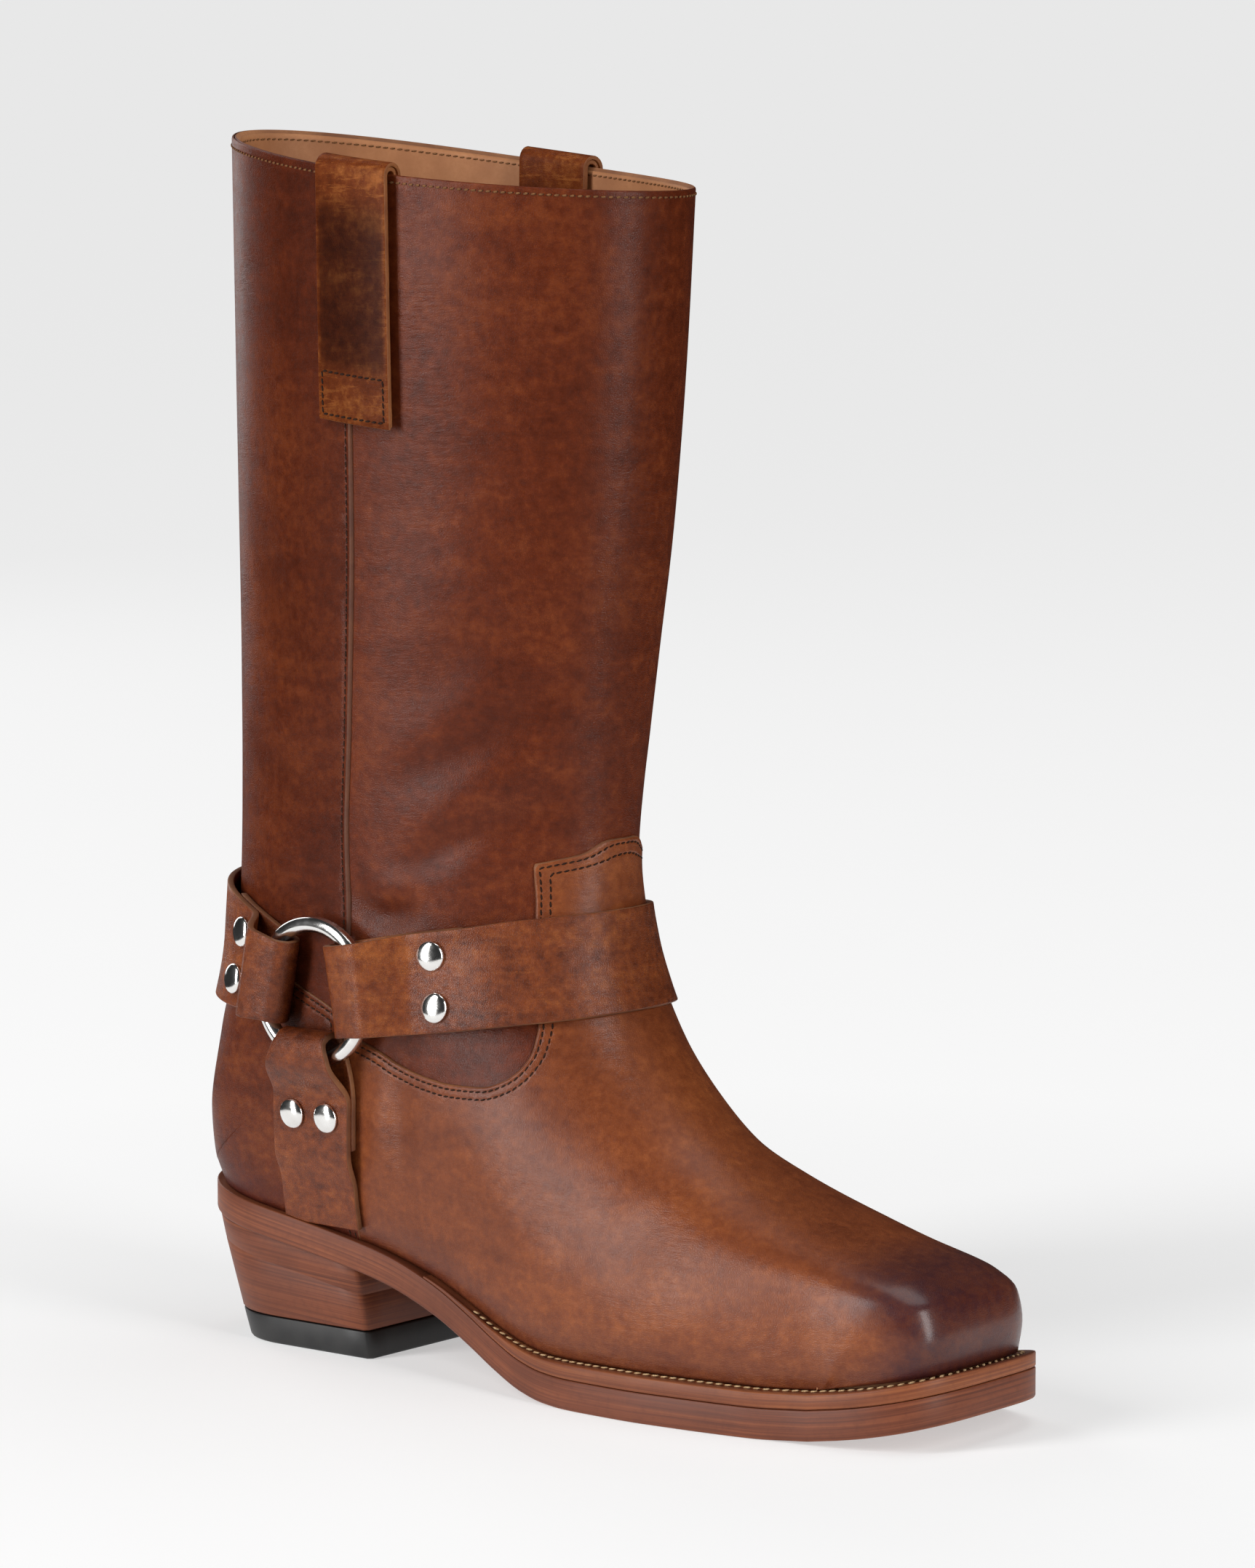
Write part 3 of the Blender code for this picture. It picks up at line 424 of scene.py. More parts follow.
def half_section(row, side, wide, shift, count):
    """Half of one section: shares of the way along its plane and half widths."""
    turn = np.linspace(0, math.pi / 2, SECTION_SAMPLES)
    reach = math.hypot(row["top_x"] - row["low_x"], row["top_z"] - row["low_z"])
    low = row["wide_at"] * (1 - np.cos(turn))
    foot = feather_half_width(row["low_x"] - shift + low * (row["top_x"] - row["low_x"]), side)
    over_foot = foot + (wide - foot) * np.sin(turn) ** 2
    low_y = row["foot_share"] * over_foot + (1 - row["foot_share"]) * wide * np.sin(turn)
    run = np.sin(turn) ** (2 / row["top_power"])
    fall = np.clip(np.cos(turn), 0, 1) ** (2 / row["top_power"])
    top_y = wide * (1 - row["taper"] * run) * fall
    share = np.concatenate([low, (row["wide_at"] + (1 - row["wide_at"]) * run)[1:]])
    half = np.concatenate([low_y, top_y[1:]])
    half[-1] = 0.0
    ahead = np.diff(share) * reach
    across = np.diff(half)
    bends = np.abs(np.diff(np.unwrap(np.arctan2(across, ahead)), prepend=0.0))
    bends[0] = 0.0
    measure = np.concatenate([[0], np.cumsum(np.hypot(ahead, across) + TURN_WEIGHT * bends)])
    wanted = np.linspace(0, measure[-1], count + 1)
    return np.interp(wanted, measure, share), np.interp(wanted, measure, half)


def section_line(place, columns):
    """Points of one section, from the outer foot over the top to the inner foot."""
    row = {column: float(curve(place)) for column, curve in SECTION_CURVES.items()}
    seat = SECTION_NAMES.index("heel seat")
    if place <= seat:
        row["low_z"] = float(feather_height(row["low_x"]))
    shift = row["low_x"] - FEATHER_BACK if place > seat else 0.0
    halves = []
    for side, wide in ((LATERAL, row["wide_lateral"]), (MEDIAL, row["wide_medial"])):
        share, half = half_section(row, side, wide, shift, columns)
        x = row["low_x"] + share * (row["top_x"] - row["low_x"])
        z = row["low_z"] + share * (row["top_z"] - row["low_z"]) - row["dip"] * np.sin(np.pi * share)
        halves.append(np.stack([x, side * half, z], axis=1))
    return np.concatenate([halves[0], halves[1][-2::-1]])


def section_places(first, last, pitch):
    """Places of sections between two named ones, no further apart than the pitch."""
    start, end = SECTION_NAMES.index(first), SECTION_NAMES.index(last)
    places = []
    for number in range(start, end):
        gap = section_line(number + 1, PLACE_COLUMNS) - section_line(number, PLACE_COLUMNS)
        count = max(LEAST_PLACES, math.ceil(np.linalg.norm(gap, axis=1).max() / pitch))
        places += [number + k / count for k in range(count)]
    if last == "collar":
        places += [end - drop / COLLAR_SECTION_HEIGHT for drop in (RIM_ROUND, RIM_ROUND / 3)]
    return places + [end]


def grid_through(points):
    """Bmesh grid laid through rows of points."""
    rows, columns = points.shape[:2]
    bm = bmesh.new()
    bmesh.ops.create_grid(bm, x_segments=columns - 1, y_segments=rows - 1, size=1.0)
    for vert in bm.verts:
        column = round((vert.co.x + 1) / 2 * (columns - 1))
        row = round((vert.co.y + 1) / 2 * (rows - 1))
        vert.co = points[row, column]
    return bm


def weld(bm):
    bmesh.ops.remove_doubles(bm, verts=bm.verts, dist=WELD)
    bmesh.ops.dissolve_degenerate(bm, edges=bm.edges, dist=WELD / 2)


def close_ends(bm):
    """Close a tube or strip of grid and point its faces outwards."""
    bmesh.ops.remove_doubles(bm, verts=bm.verts, dist=WELD)
    bmesh.ops.holes_fill(bm, edges=[e for e in bm.edges if e.is_boundary], sides=0)
    bmesh.ops.recalc_face_normals(bm, faces=bm.faces)


def last_face(places, columns):
    """Outer face of the last between some sections, as triangles that point outwards."""
    bm = grid_through(np.array([section_line(place, columns) for place in places]))
    weld(bm)
    bmesh.ops.triangulate(bm, faces=bm.faces, quad_method="SHORT_EDGE")
    bm.normal_update()
    away = sum(f.normal.dot(f.calc_center_median() - BOOT_MIDDLE) * f.calc_area() for f in bm.faces)
    if away < 0:
        bmesh.ops.reverse_faces(bm, faces=bm.faces)
    bm.normal_update()
    return bm


LAST_BM = last_face(section_places("toe edge", "collar", WALL_PITCH), WALL_COLUMNS)
LAST_TREE = BVHTree.FromBMesh(LAST_BM)
LAST_BM.free()


def surface_point(start, direction):
    """Outermost point of the last from a point inside along a direction."""
    direction = Vector(direction).normalized()
    hit, normal, _, _ = LAST_TREE.ray_cast(Vector(start) + direction * CAST_DISTANCE, -direction)
    if hit is None:
        hit, normal, _, _ = LAST_TREE.find_nearest(Vector(start))
    if normal.dot(direction) < 0:
        normal = -normal
    return hit, normal


def side_point(x, z, side):
    return surface_point((x, 0.0, z), (0.0, side, 0.0))


# Lines, fields and creases.

def smooth_line(points, step):
    """Evenly spaced points on a smooth line through a few points."""
    points = np.asarray(points, float)
    along = np.concatenate([[0.0], np.cumsum(np.linalg.norm(np.diff(points, axis=0), axis=1))])
    count = max(2, round(along[-1] / step))
    wanted = np.linspace(0.0, along[-1], count + 1)
    return np.stack([monotone_curve(along, column)(wanted) for column in points.T], axis=1)


VAMP_LINE = np.concatenate([
    smooth_line(VAMP_SCALLOP, VAMP_LINE_STEP),
    smooth_line(VAMP_TAB_TOP, VAMP_LINE_STEP)[1:],
])
VAMP_RING = np.concatenate([VAMP_LINE, np.array(VAMP_REST)])


def distance_to_line(points, line):
    best = np.full(len(points), np.inf)
    for a, b in zip(line[:-1], line[1:]):
        run = b - a
        share = np.clip((points - a) @ run / (run @ run), 0.0, 1.0)
        gap = points - a - share[:, None] * run
        best = np.minimum(best, np.einsum("ij,ij->i", gap, gap))
    return np.sqrt(best)


def inside_ring(points, ring):
    inside = np.zeros(len(points), bool)
    for a, b in zip(ring, np.roll(ring, -1, axis=0)):
        if a[1] == b[1]:
            continue
        spans = (a[1] > points[:, 1]) != (b[1] > points[:, 1])
        cross = a[0] + (points[:, 1] - a[1]) * (b[0] - a[0]) / (b[1] - a[1])
        inside ^= spans & (points[:, 0] < cross)
    return inside


def vamp_field(points):
    """Distance inside the vamp's cut edge, in side view."""
    flat = points[:, [0, 2]]
    distance = distance_to_line(flat, VAMP_LINE)
    return np.where(inside_ring(flat, VAMP_RING), distance, -distance)


def back_field(points):
    """Distance behind the cut edge of the back panel at the side seams."""
    return seam_x(points[:, 2]) + SEAM_LAP - points[:, 0]


def counter_field(points):
    """Distance inside the top edge and the front edge of the counter."""
    below = counter_edge_z(points[:, 0]) - points[:, 2]
    return np.minimum(below * COUNTER_SLANT, COUNTER_FRONT_X - points[:, 0])


def crease_samples(crease):
    line = smooth_line(crease.line, CREASE_STEP)
    spots = np.array([side_point(x, z, crease.side)[0] for x, z in line])
    fade = np.sin(np.linspace(0.0, math.pi, len(line))) ** CREASE_FADE_POWER
    return spots, fade


CREASE_SPOTS = [crease_samples(crease) for crease in CREASES]


def crease_height(points):
    total = np.zeros(len(points))
    for crease, (spots, fade) in zip(CREASES, CREASE_SPOTS):
        near = np.zeros(len(points))
        for spot, share in zip(spots, fade):
            gap = points - spot
            near = np.maximum(near, share * np.exp(-np.einsum("ij,ij->i", gap, gap) / crease.width ** 2))
        total += CREASE_GAIN * crease.depth * near
    return total


def rim_round(points):
    """Rounding of the cut edge of the collar."""
    below = np.clip((collar_height(points[:, 0]) - points[:, 2]) / RIM_ROUND, 0.0, 1.0)
    return -RIM_SETBACK * (1 - np.sqrt(1 - (1 - below) ** 2))


# Mesh helpers.

def vert_array(bm, what="co"):
    return np.array([getattr(vert, what)[:] for vert in bm.verts])


def cut_along(bm, layer, level):
    """New edges where a value on the vertices crosses a level."""
    for edge in list(bm.edges):
        a, b = edge.verts
        first = a[layer] - level
        second = b[layer] - level
        if abs(first) < SNAP or abs(second) < SNAP or first * second > 0:
            continue
        vert = bmesh.utils.edge_split(edge, a, first / (first - second))[1]
        vert[layer] = level
    on_line = [vert for vert in bm.verts if abs(vert[layer] - level) < SNAP]
    bmesh.ops.connect_verts(bm, verts=on_line)


def shape_skin(bm, level):
    """Move the face of the last out to the leather's level, and mark on it burnish and the painted shade
    of the crease hollows.
    """
    points = vert_array(bm)
    normals = vert_array(bm, "normal")
    crease = crease_height(points)
    height = level + crease + rim_round(points)
    moved = points + normals * height[:, None]
    x, z = points[:, 0], points[:, 2]
    toe_start = TOE_BURNISH_X - TOE_BURNISH_LEAN * smooth_step(*TOE_LEAN_RANGE, z)
    toe = smooth_step(0.0, TOE_BURNISH_FADE, x - toe_start)
    foot = 1 - smooth_step(*FOOT_BURNISH_RANGE, z - feather_height(x))
    heel = (1 - smooth_step(*HEEL_BURNISH_RANGE, x)) * (z < HEEL_BURNISH_TOP)
    dark = np.clip(toe + FOOT_BURNISH * foot + HEEL_BURNISH * heel, 0.0, 1.0)
    # Painted shade: the depth of each crease hollow, kept to darken the colour there.
    crease_shades = np.clip(-crease, 0.0, CREASE_SHADE_LIMIT)
    burnish = bm.verts.layers.float.new("burnish")
    crease_shade = bm.verts.layers.float.new("crease_shade")
    for vert, place, shade, dip in zip(bm.verts, moved, dark, crease_shades):
        vert.co = place
        vert[burnish] = shade
        vert[crease_shade] = dip
    bm.normal_update()


def level_chains(bm, layer, level):
    """Runs of vertices along one level of a value, as arrays of points and of normals."""
    links = {}
    for edge in bm.edges:
        a, b = edge.verts
        if abs(a[layer] - level) < SNAP and abs(b[layer] - level) < SNAP:
            links.setdefault(a, []).append(b)
            links.setdefault(b, []).append(a)
    chains = []
    while links:
        start = next((v for v, near in links.items() if len(near) == 1), next(iter(links)))
        chain = [start]
        while True:
            nexts = [v for v in links.pop(chain[-1]) if v in links]
            if not nexts:
                break
            chain.append(nexts[0])
        if len(chain) > SHORTEST_CHAIN:
            chains.append((np.array([v.co[:] for v in chain]), np.array([v.normal[:] for v in chain])))
    return chains


def leather_panel(panel):
    """Panel cut from the face of the last, with a stepped edge and grooves for its stitches."""
    bm = last_face(section_places(panel.first, panel.last, panel.pitch), PANEL_COLUMNS)
    edge = bm.verts.layers.float.new("edge_distance")
    for vert, value in zip(bm.verts, panel.field(vert_array(bm))):
        vert[edge] = value
    bmesh.ops.delete(bm, geom=[v for v in bm.verts if v[edge] < -PANEL_SPARE], context="VERTS")
    levels = [step.distance for step in EDGE_STEPS] + [panel.edge_width]
    for row in panel.rows:
        levels += [row - STITCH_GROOVE_WIDTH, row, row + STITCH_GROOVE_WIDTH]
    for distance in levels:
        cut_along(bm, edge, distance)
    bmesh.ops.delete(bm, geom=[v for v in bm.verts if v[edge] < -SNAP], context="VERTS")
    bmesh.ops.triangulate(bm, faces=bm.faces, quad_method="SHORT_EDGE")
    bm.normal_update()
    inside = np.array([vert[edge] for vert in bm.verts])
    share = np.interp(inside, [s.distance for s in EDGE_STEPS], [s.share for s in EDGE_STEPS])
    height = panel.lap_from + (panel.level - panel.lap_from) * share
    for row in panel.rows:
        height -= STITCH_GROOVE * (np.abs(inside - row) < STITCH_GROOVE_WIDTH / 2)
    shape_skin(bm, height)
    for face in bm.faces:
        face.material_index = int(max(vert[edge] for vert in face.verts) < panel.edge_width + SNAP)
    return bm, [chain for row in panel.rows for chain in level_chains(bm, edge, row)]


def finish_piece(bm, name, finishes, nodes=(), body="boot", sharp=None):
    """Turn a bmesh in millimetres into a named piece on its body."""
    bmesh.ops.translate(bm, vec=(-ORIGIN_X, 0.0, 0.0), verts=bm.verts)
    bmesh.ops.scale(bm, vec=(MM, MM, MM), verts=bm.verts)
    mesh = bpy.data.meshes.new(name)
    bm.to_mesh(mesh)
    bm.free()
    for finish in finishes:
        mesh.materials.append(finish)
    mesh.shade_smooth()
    if sharp:
        mesh.set_sharp_from_angle(angle=math.radians(sharp))
    obj = bpy.data.objects.new(name, mesh)
    bpy.context.scene.collection.objects.link(obj)
    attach(obj, body)
    if nodes:
        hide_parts(*nodes)
    return obj


def mark_layers(bm, height_at):
    """Store on each vertex its height in millimetres within the layers of the sole."""
    layer = bm.verts.layers.float.new("layer")
    for vert in bm.verts:
        vert[layer] = float(height_at(vert.co))


def thicken(obj, thickness, offset, inner=0, rim=0):
    wall = obj.modifiers.new("thickness", "SOLIDIFY")
    wall.thickness = thickness * MM
    wall.offset = offset
    wall.material_offset = inner
    wall.material_offset_rim = rim


def soften(obj, width):
    edge = obj.modifiers.new("edge", "BEVEL")
    edge.width = width * MM
    edge.segments = BEVEL_SEGMENTS
    edge.limit_method = "ANGLE"
    edge.angle_limit = math.radians(BEVEL_ANGLE)


# Finishes.
MIX_COLOUR_INPUTS = (0, 6, 7)
MIX_COLOUR_OUTPUT = 2
PEBBLE_ROUND = 0.3


class Finish:
    """Procedural material on a piece's own coordinates, put together from small patterns."""

    def __init__(self, name):
        self.material = bpy.data.materials.new(name)
        self.material.use_nodes = True
        self.tree = self.material.node_tree
        self.shader = self.tree.nodes["Principled BSDF"]
        self.coords = self.add("ShaderNodeTexCoord").outputs["Object"]

    def feed(self, socket, value):
        """Set a socket to a value, or link another node's output to it."""
        if isinstance(value, bpy.types.NodeSocket):
            self.tree.links.new(value, socket)
        else:
            socket.default_value = value

    def put(self, name, value):
        self.feed(self.shader.inputs[name], value)

    def add(self, kind, inputs=None, **settings):
        node = self.tree.nodes.new(kind)
        for name, value in settings.items():
            setattr(node, name, value)
        for name, value in (inputs or {}).items():
            self.feed(node.inputs[name], value)
        return node

    def attribute(self, name):
        return self.add("ShaderNodeAttribute", attribute_name=name).outputs["Fac"]

    def times(self, first, second):
        return self.add("ShaderNodeMath", {0: first, 1: second}, operation="MULTIPLY").outputs[0]

    def plus(self, first, second):
        return self.add("ShaderNodeMath", {0: first, 1: second}, operation="ADD").outputs[0]

    def span(self, value, low, high, start=0.0, end=1.0):
        """Value between start and end, spread from low to high."""
        inputs = {"Value": value, "From Min": start, "From Max": end, "To Min": low, "To Max": high}
        return self.add("ShaderNodeMapRange", inputs).outputs["Result"]

    def ramp(self, factor, stops):
        node = self.add("ShaderNodeValToRGB", {"Fac": factor})
        elements = node.color_ramp.elements
        while len(elements) < len(stops):
            elements.new(0.5)
        for element, (place, colour) in zip(elements, stops):
            element.position = place
            element.color = (*colour, 1.0)
        return node.outputs["Color"]

    def stain(self, colour, share, tone):
        """Colour mixed towards a fixed tone by a share."""
        node = self.add("ShaderNodeMix", data_type="RGBA")
        share_socket, first, second = (node.inputs[number] for number in MIX_COLOUR_INPUTS)
        self.feed(share_socket, share)
        self.feed(first, colour)
        self.feed(second, (*tone, 1.0))
        return node.outputs[MIX_COLOUR_OUTPUT]

    def noise(self, scale, detail=3.0, rough=0.55, warp=0.0, coords=None):
        inputs = {"Vector": coords or self.coords, "Scale": scale, "Detail": detail}
        inputs |= {"Roughness": rough, "Distortion": warp}
        return self.add("ShaderNodeTexNoise", inputs).outputs["Fac"]

    def streaks(self, stretch, turn, detail, rough, warp=0.0):
        """Noise stretched along a turned direction."""
        turned = tuple(math.radians(angle) for angle in turn)
        inputs = {"Vector": self.coords, "Scale": stretch, "Rotation": turned}
        mapped = self.add("ShaderNodeMapping", inputs).outputs["Vector"]
        return self.noise(1.0, detail, rough, warp, mapped)

    def pebbles(self, scale):
        """Small rounded pebbles of grain."""
        inputs = {"Vector": self.coords, "Scale": scale, "Randomness": 1.0}
        node = self.add("ShaderNodeTexVoronoi", inputs, feature="DISTANCE_TO_EDGE")
        return self.span(node.outputs["Distance"], 0.0, 1.0, end=PEBBLE_ROUND)

    def bump(self, height, strength, depth, over=None):
        """Relief of a depth in millimetres, over another relief if one is given."""
        inputs = {"Height": height, "Strength": strength, "Distance": depth * MM}
        if over:
            inputs["Normal"] = over
        return self.add("ShaderNodeBump", inputs).outputs["Normal"]


PEBBLE_SCALE = 1800.0
GRAIN_TURN = (0.0, 14.0, 0.0)
SCRATCH_TURN = (0.0, 52.0, 0.0)
Tones = namedtuple("Tones", "deep middle light burnish")


def leather(name, tones, grain, gloss, scuff=0.0, polish=0.0):
    """Waxed pull-up leather: cloudy patina, pebbled grain, fine wrinkles and a soft gloss."""
    skin = Finish(name)
    cloud = skin.noise(15.0)
    fleck = skin.noise(330.0, detail=4.0, rough=0.68)
    streak = skin.streaks((38.0, 38.0, 150.0), GRAIN_TURN, detail=3.0, rough=0.6)
    fine = skin.plus(skin.times(fleck, 0.4), skin.times(streak, 0.25))
    mottle = skin.plus(skin.times(cloud, 0.35), fine)
    colour = skin.ramp(mottle, [(0.37, tones.deep), (0.51, tones.middle), (0.64, tones.light)])
    if scuff:
        scratch = skin.streaks((110.0, 110.0, 900.0), SCRATCH_TURN, detail=4.0, rough=0.7)
        marks = skin.span(scratch, 0.0, scuff, start=0.56, end=0.64)
        marks = skin.times(marks, skin.span(cloud, 0.2, 1.0, start=0.4, end=0.6))
        colour = skin.stain(colour, marks, tones.light)
    # Painted shade: darker in the hollows of the creases.
    colour = skin.stain(colour, skin.span(skin.attribute("crease_shade"), 0.0, 0.4), tones.deep)
    burnish = skin.attribute("burnish")
    cloudy_burnish = skin.times(burnish, skin.span(mottle, 1.0, 0.75, start=0.42, end=0.6))
    colour = skin.stain(colour, cloudy_burnish, tones.burnish)
    pebbles = skin.pebbles(PEBBLE_SCALE)
    wander = skin.span(skin.noise(300.0), 0.1, 1.0, start=0.38, end=0.62)
    furrows = skin.times(skin.span(pebbles, 0.5, 0.0), wander)
    skin.put("Base Color", skin.stain(colour, furrows, tones.deep))
    skin.put("Roughness", skin.span(fleck, 0.36, 0.5, start=0.3, end=0.7))
    skin.put("Specular IOR Level", 0.4 * gloss)
    skin.put("Coat Weight", skin.span(burnish, gloss, gloss + polish))
    skin.put("Coat Roughness", 0.25)
    wrinkles = skin.streaks((190.0, 190.0, 860.0), GRAIN_TURN, detail=4.0, rough=0.65, warp=0.4)
    patches = skin.span(skin.noise(34.0, detail=2.0), 0.1, 1.0, start=0.42, end=0.66)
    unworn = skin.span(burnish, 1.0, 0.25)
    folds = skin.times(skin.times(wrinkles, patches), unworn)
    wrinkled = skin.bump(folds, 0.5 * grain, depth=0.6)
    skin.put("Coat Normal", skin.bump(skin.times(pebbles, unworn), 0.2 * grain, depth=0.12, over=wrinkled))
    pebbled = skin.bump(pebbles, 0.45 * grain, depth=0.18, over=wrinkled)
    skin.put("Normal", skin.bump(skin.noise(2600.0, detail=2.0), 0.15, depth=0.1, over=pebbled))
    return skin.material


def cut_leather(name, dark, light):
    """Raw cut edge or flesh side: fibrous and dry."""
    edge = Finish(name)
    fibre = edge.noise(900.0, detail=4.0, rough=0.7)
    colour = edge.ramp(edge.noise(60.0), [(0.35, dark), (0.68, light)])
    edge.put("Base Color", edge.stain(colour, edge.span(fibre, 0.0, 0.5, start=0.4, end=0.75), dark))
    edge.put("Roughness", edge.span(fibre, 0.55, 0.8))
    edge.put("Normal", edge.bump(fibre, 0.3, depth=0.15))
    return edge.material


LAYER_STREAK_PULL = 9.0


def layered_leather(name, deep, middle, light):
    """Edge of pressed sole leather, streaked along its layers."""
    sole = Finish(name)
    place = sole.add("ShaderNodeSeparateXYZ", {"Vector": sole.coords}).outputs
    long_way = {axis: sole.times(place[axis], LAYER_STREAK_PULL) for axis in "XY"}
    long_way["Z"] = sole.attribute("layer")
    along = sole.add("ShaderNodeCombineXYZ", long_way).outputs["Vector"]
    streak = sole.noise(1.3, rough=0.65, coords=along)
    colour = sole.ramp(streak, [(0.3, deep), (0.5, middle), (0.7, light)])
    colour = sole.stain(colour, sole.span(sole.noise(40.0), 0.0, 0.5, start=0.4, end=0.7), deep)
    fleck = sole.noise(420.0, rough=0.6)
    sole.put("Base Color", sole.stain(colour, sole.span(fleck, 0.0, 0.35, start=0.5, end=0.75), deep))
    sole.put("Roughness", sole.span(streak, 0.42, 0.62))
    streaked = sole.bump(streak, 0.12, depth=0.2)
    sole.put("Normal", sole.bump(sole.noise(1500.0, detail=2.0), 0.15, depth=0.1, over=streaked))
    sole.put("Specular IOR Level", 0.3)
    sole.put("Coat Weight", 0.05)
    sole.put("Coat Roughness", 0.3)
    return sole.material


def rubber(name, dark, light):
    lift = Finish(name)
    cloud = lift.noise(120.0, detail=4.0)
    lift.put("Base Color", lift.ramp(cloud, [(0.35, dark), (0.7, light)]))
    lift.put("Roughness", lift.span(cloud, 0.35, 0.6))
    lift.put("Normal", lift.bump(lift.noise(1800.0, detail=2.0), 0.2, depth=0.1))
    return lift.material


def polished_nickel(name, dull, bright):
    metal = Finish(name)
    haze = metal.noise(260.0, detail=4.0)
    metal.put("Base Color", metal.ramp(haze, [(0.3, dull), (0.7, bright)]))
    metal.put("Roughness", metal.span(haze, 0.12, 0.2, start=0.3, end=0.7))
    scratch = metal.streaks((400.0, 400.0, 3000.0), (25.0, 40.0, 10.0), detail=2.0, rough=0.6)
    metal.put("Normal", metal.bump(scratch, 0.04, depth=0.05))
    metal.put("Metallic", 1.0)
    return metal.material


def thread(name, dark, light, hole_shade):
    """Twisted waxed thread that dips into its holes, with painted shade on the ends of each stitch."""
    yarn = Finish(name)
    twist = yarn.streaks((1500.0, 1500.0, 3200.0), (30.0, 30.0, 0.0), detail=2.0, rough=0.6)
    colour = yarn.ramp(twist, [(0.35, dark), (0.7, light)])
    # Painted shade of the stitch holes, darkest at the ends of each stitch.
    dip = yarn.span(yarn.attribute("end"), 0.0, 1.0, start=0.45, end=0.85)
    yarn.put("Base Color", yarn.stain(colour, dip, hole_shade))
    yarn.put("Roughness", yarn.span(twist, 0.65, 0.85))
    yarn.put("Specular IOR Level", 0.15)
    yarn.put("Normal", yarn.bump(twist, 0.4, depth=0.1))
    return yarn.material


# Colours, deep to light, and the gloss of each leather.
BURNISH = (0.045, 0.0115, 0.0145)
PULL_DARK = (0.026, 0.0050, 0.0018)
SHAFT_TONES = Tones((0.060, 0.0098, 0.0028), (0.118, 0.0206, 0.0052), (0.192, 0.041, 0.0100), BURNISH)
BACK_TONES = Tones((0.048, 0.0078, 0.0022), (0.094, 0.0160, 0.0043), (0.155, 0.032, 0.0080), BURNISH)
VAMP_TONES = Tones((0.112, 0.0240, 0.0066), (0.195, 0.0480, 0.0130), (0.280, 0.078, 0.0205), BURNISH)
COUNTER_TONES = Tones((0.056, 0.0096, 0.0028), (0.126, 0.0245, 0.0064), (0.205, 0.051, 0.0130), BURNISH)
STRAP_TONES = Tones((0.058, 0.0100, 0.0026), (0.182, 0.0395, 0.0088), (0.315, 0.088, 0.0190), BURNISH)
PULL_TONES = Tones((0.070, 0.0130, 0.0034), (0.165, 0.0370, 0.0085), (0.340, 0.110, 0.0260), PULL_DARK)
SHAFT_LEATHER = leather("shaft leather", SHAFT_TONES, grain=1.0, gloss=0.20)
BACK_LEATHER = leather("back panel leather", BACK_TONES, grain=1.0, gloss=0.17)
VAMP_LEATHER = leather("vamp leather", VAMP_TONES, grain=0.8, gloss=0.30, polish=0.3)
COUNTER_LEATHER = leather("counter leather", COUNTER_TONES, grain=1.0, gloss=0.19)
STRAP_LEATHER = leather("strap leather", STRAP_TONES, grain=1.4, gloss=0.32, scuff=0.35)
PULL_LEATHER = leather("pull strap leather", PULL_TONES, grain=0.9, gloss=0.06, scuff=0.75)
TURNED_EDGE = cut_leather("turned edge", (0.150, 0.042, 0.011), (0.330, 0.120, 0.034))
SEAM_EDGE = cut_leather("seam edge", (0.062, 0.0140, 0.0034), (0.130, 0.036, 0.0080))
RIM_EDGE = cut_leather("rim edge", (0.22, 0.075, 0.024), (0.40, 0.165, 0.060))
CUT_EDGE = cut_leather("cut edge", (0.105, 0.030, 0.009), (0.235, 0.088, 0.028))
LINING = cut_leather("lining leather", (0.37, 0.150, 0.058), (0.50, 0.222, 0.092))
WELT_COLOURS = (0.105, 0.027, 0.0105), (0.188, 0.051, 0.0175), (0.280, 0.090, 0.0300)
WELT_LEATHER = layered_leather("welt leather", *WELT_COLOURS)
SOLE_COLOURS = (0.085, 0.021, 0.0090), (0.158, 0.041, 0.0160), (0.225, 0.066, 0.0250)
SOLE_LEATHER = layered_leather("sole leather", *SOLE_COLOURS)
LIFT_RUBBER = rubber("lift rubber", (0.006, 0.006, 0.006), (0.018, 0.017, 0.016))
NICKEL = polished_nickel("polished nickel", (0.82, 0.80, 0.77), (0.91, 0.90, 0.88))
# Painted shade of the stitch holes, put on the ends of the threads.
HOLE_SHADE = (0.010, 0.0035, 0.0018)
WELT_HOLE_SHADE = (0.080, 0.028, 0.011)
DARK_THREAD = thread("dark thread", (0.012, 0.0045, 0.0025), (0.042, 0.0155, 0.0065), HOLE_SHADE)
COLLAR_THREAD = thread("collar thread", (0.130, 0.056, 0.022), (0.270, 0.125, 0.050), HOLE_SHADE)
CREAM_THREAD = thread("cream thread", (0.38, 0.23, 0.11), (0.66, 0.47, 0.27), WELT_HOLE_SHADE)


# Stitches.
Stitch = namedtuple("Stitch", "pitch length width height rise lean")
FINE_STITCH = Stitch(pitch=2.2, length=1.9, width=0.7, height=0.56, rise=0.06, lean=9.0)
TACK_STITCH = FINE_STITCH._replace(length=2.6)
WELT_STITCH = Stitch(pitch=3.0, length=2.6, width=1.0, height=0.56, rise=0.5, lean=24.0)
STITCH_SINK = 0.1
STITCH_SEGMENTS = 6
STITCH_RINGS = 4


def row_frames(points, normals, pitch):
    """Evenly spaced places, directions and normals along a run of points."""
    gaps = np.linalg.norm(np.diff(points, axis=0), axis=1)
    along = np.concatenate([[0.0], np.cumsum(gaps)])
    count = max(1, round(along[-1] / pitch))
    middles = (np.arange(count) + 0.5) * along[-1] / count

    def at(where, values):
        return np.stack([np.interp(where, along, column) for column in values.T], axis=1)

    ahead = at(middles + pitch / 3, points) - at(middles - pitch / 3, points)
    return zip(at(middles, points), ahead, at(middles, normals))


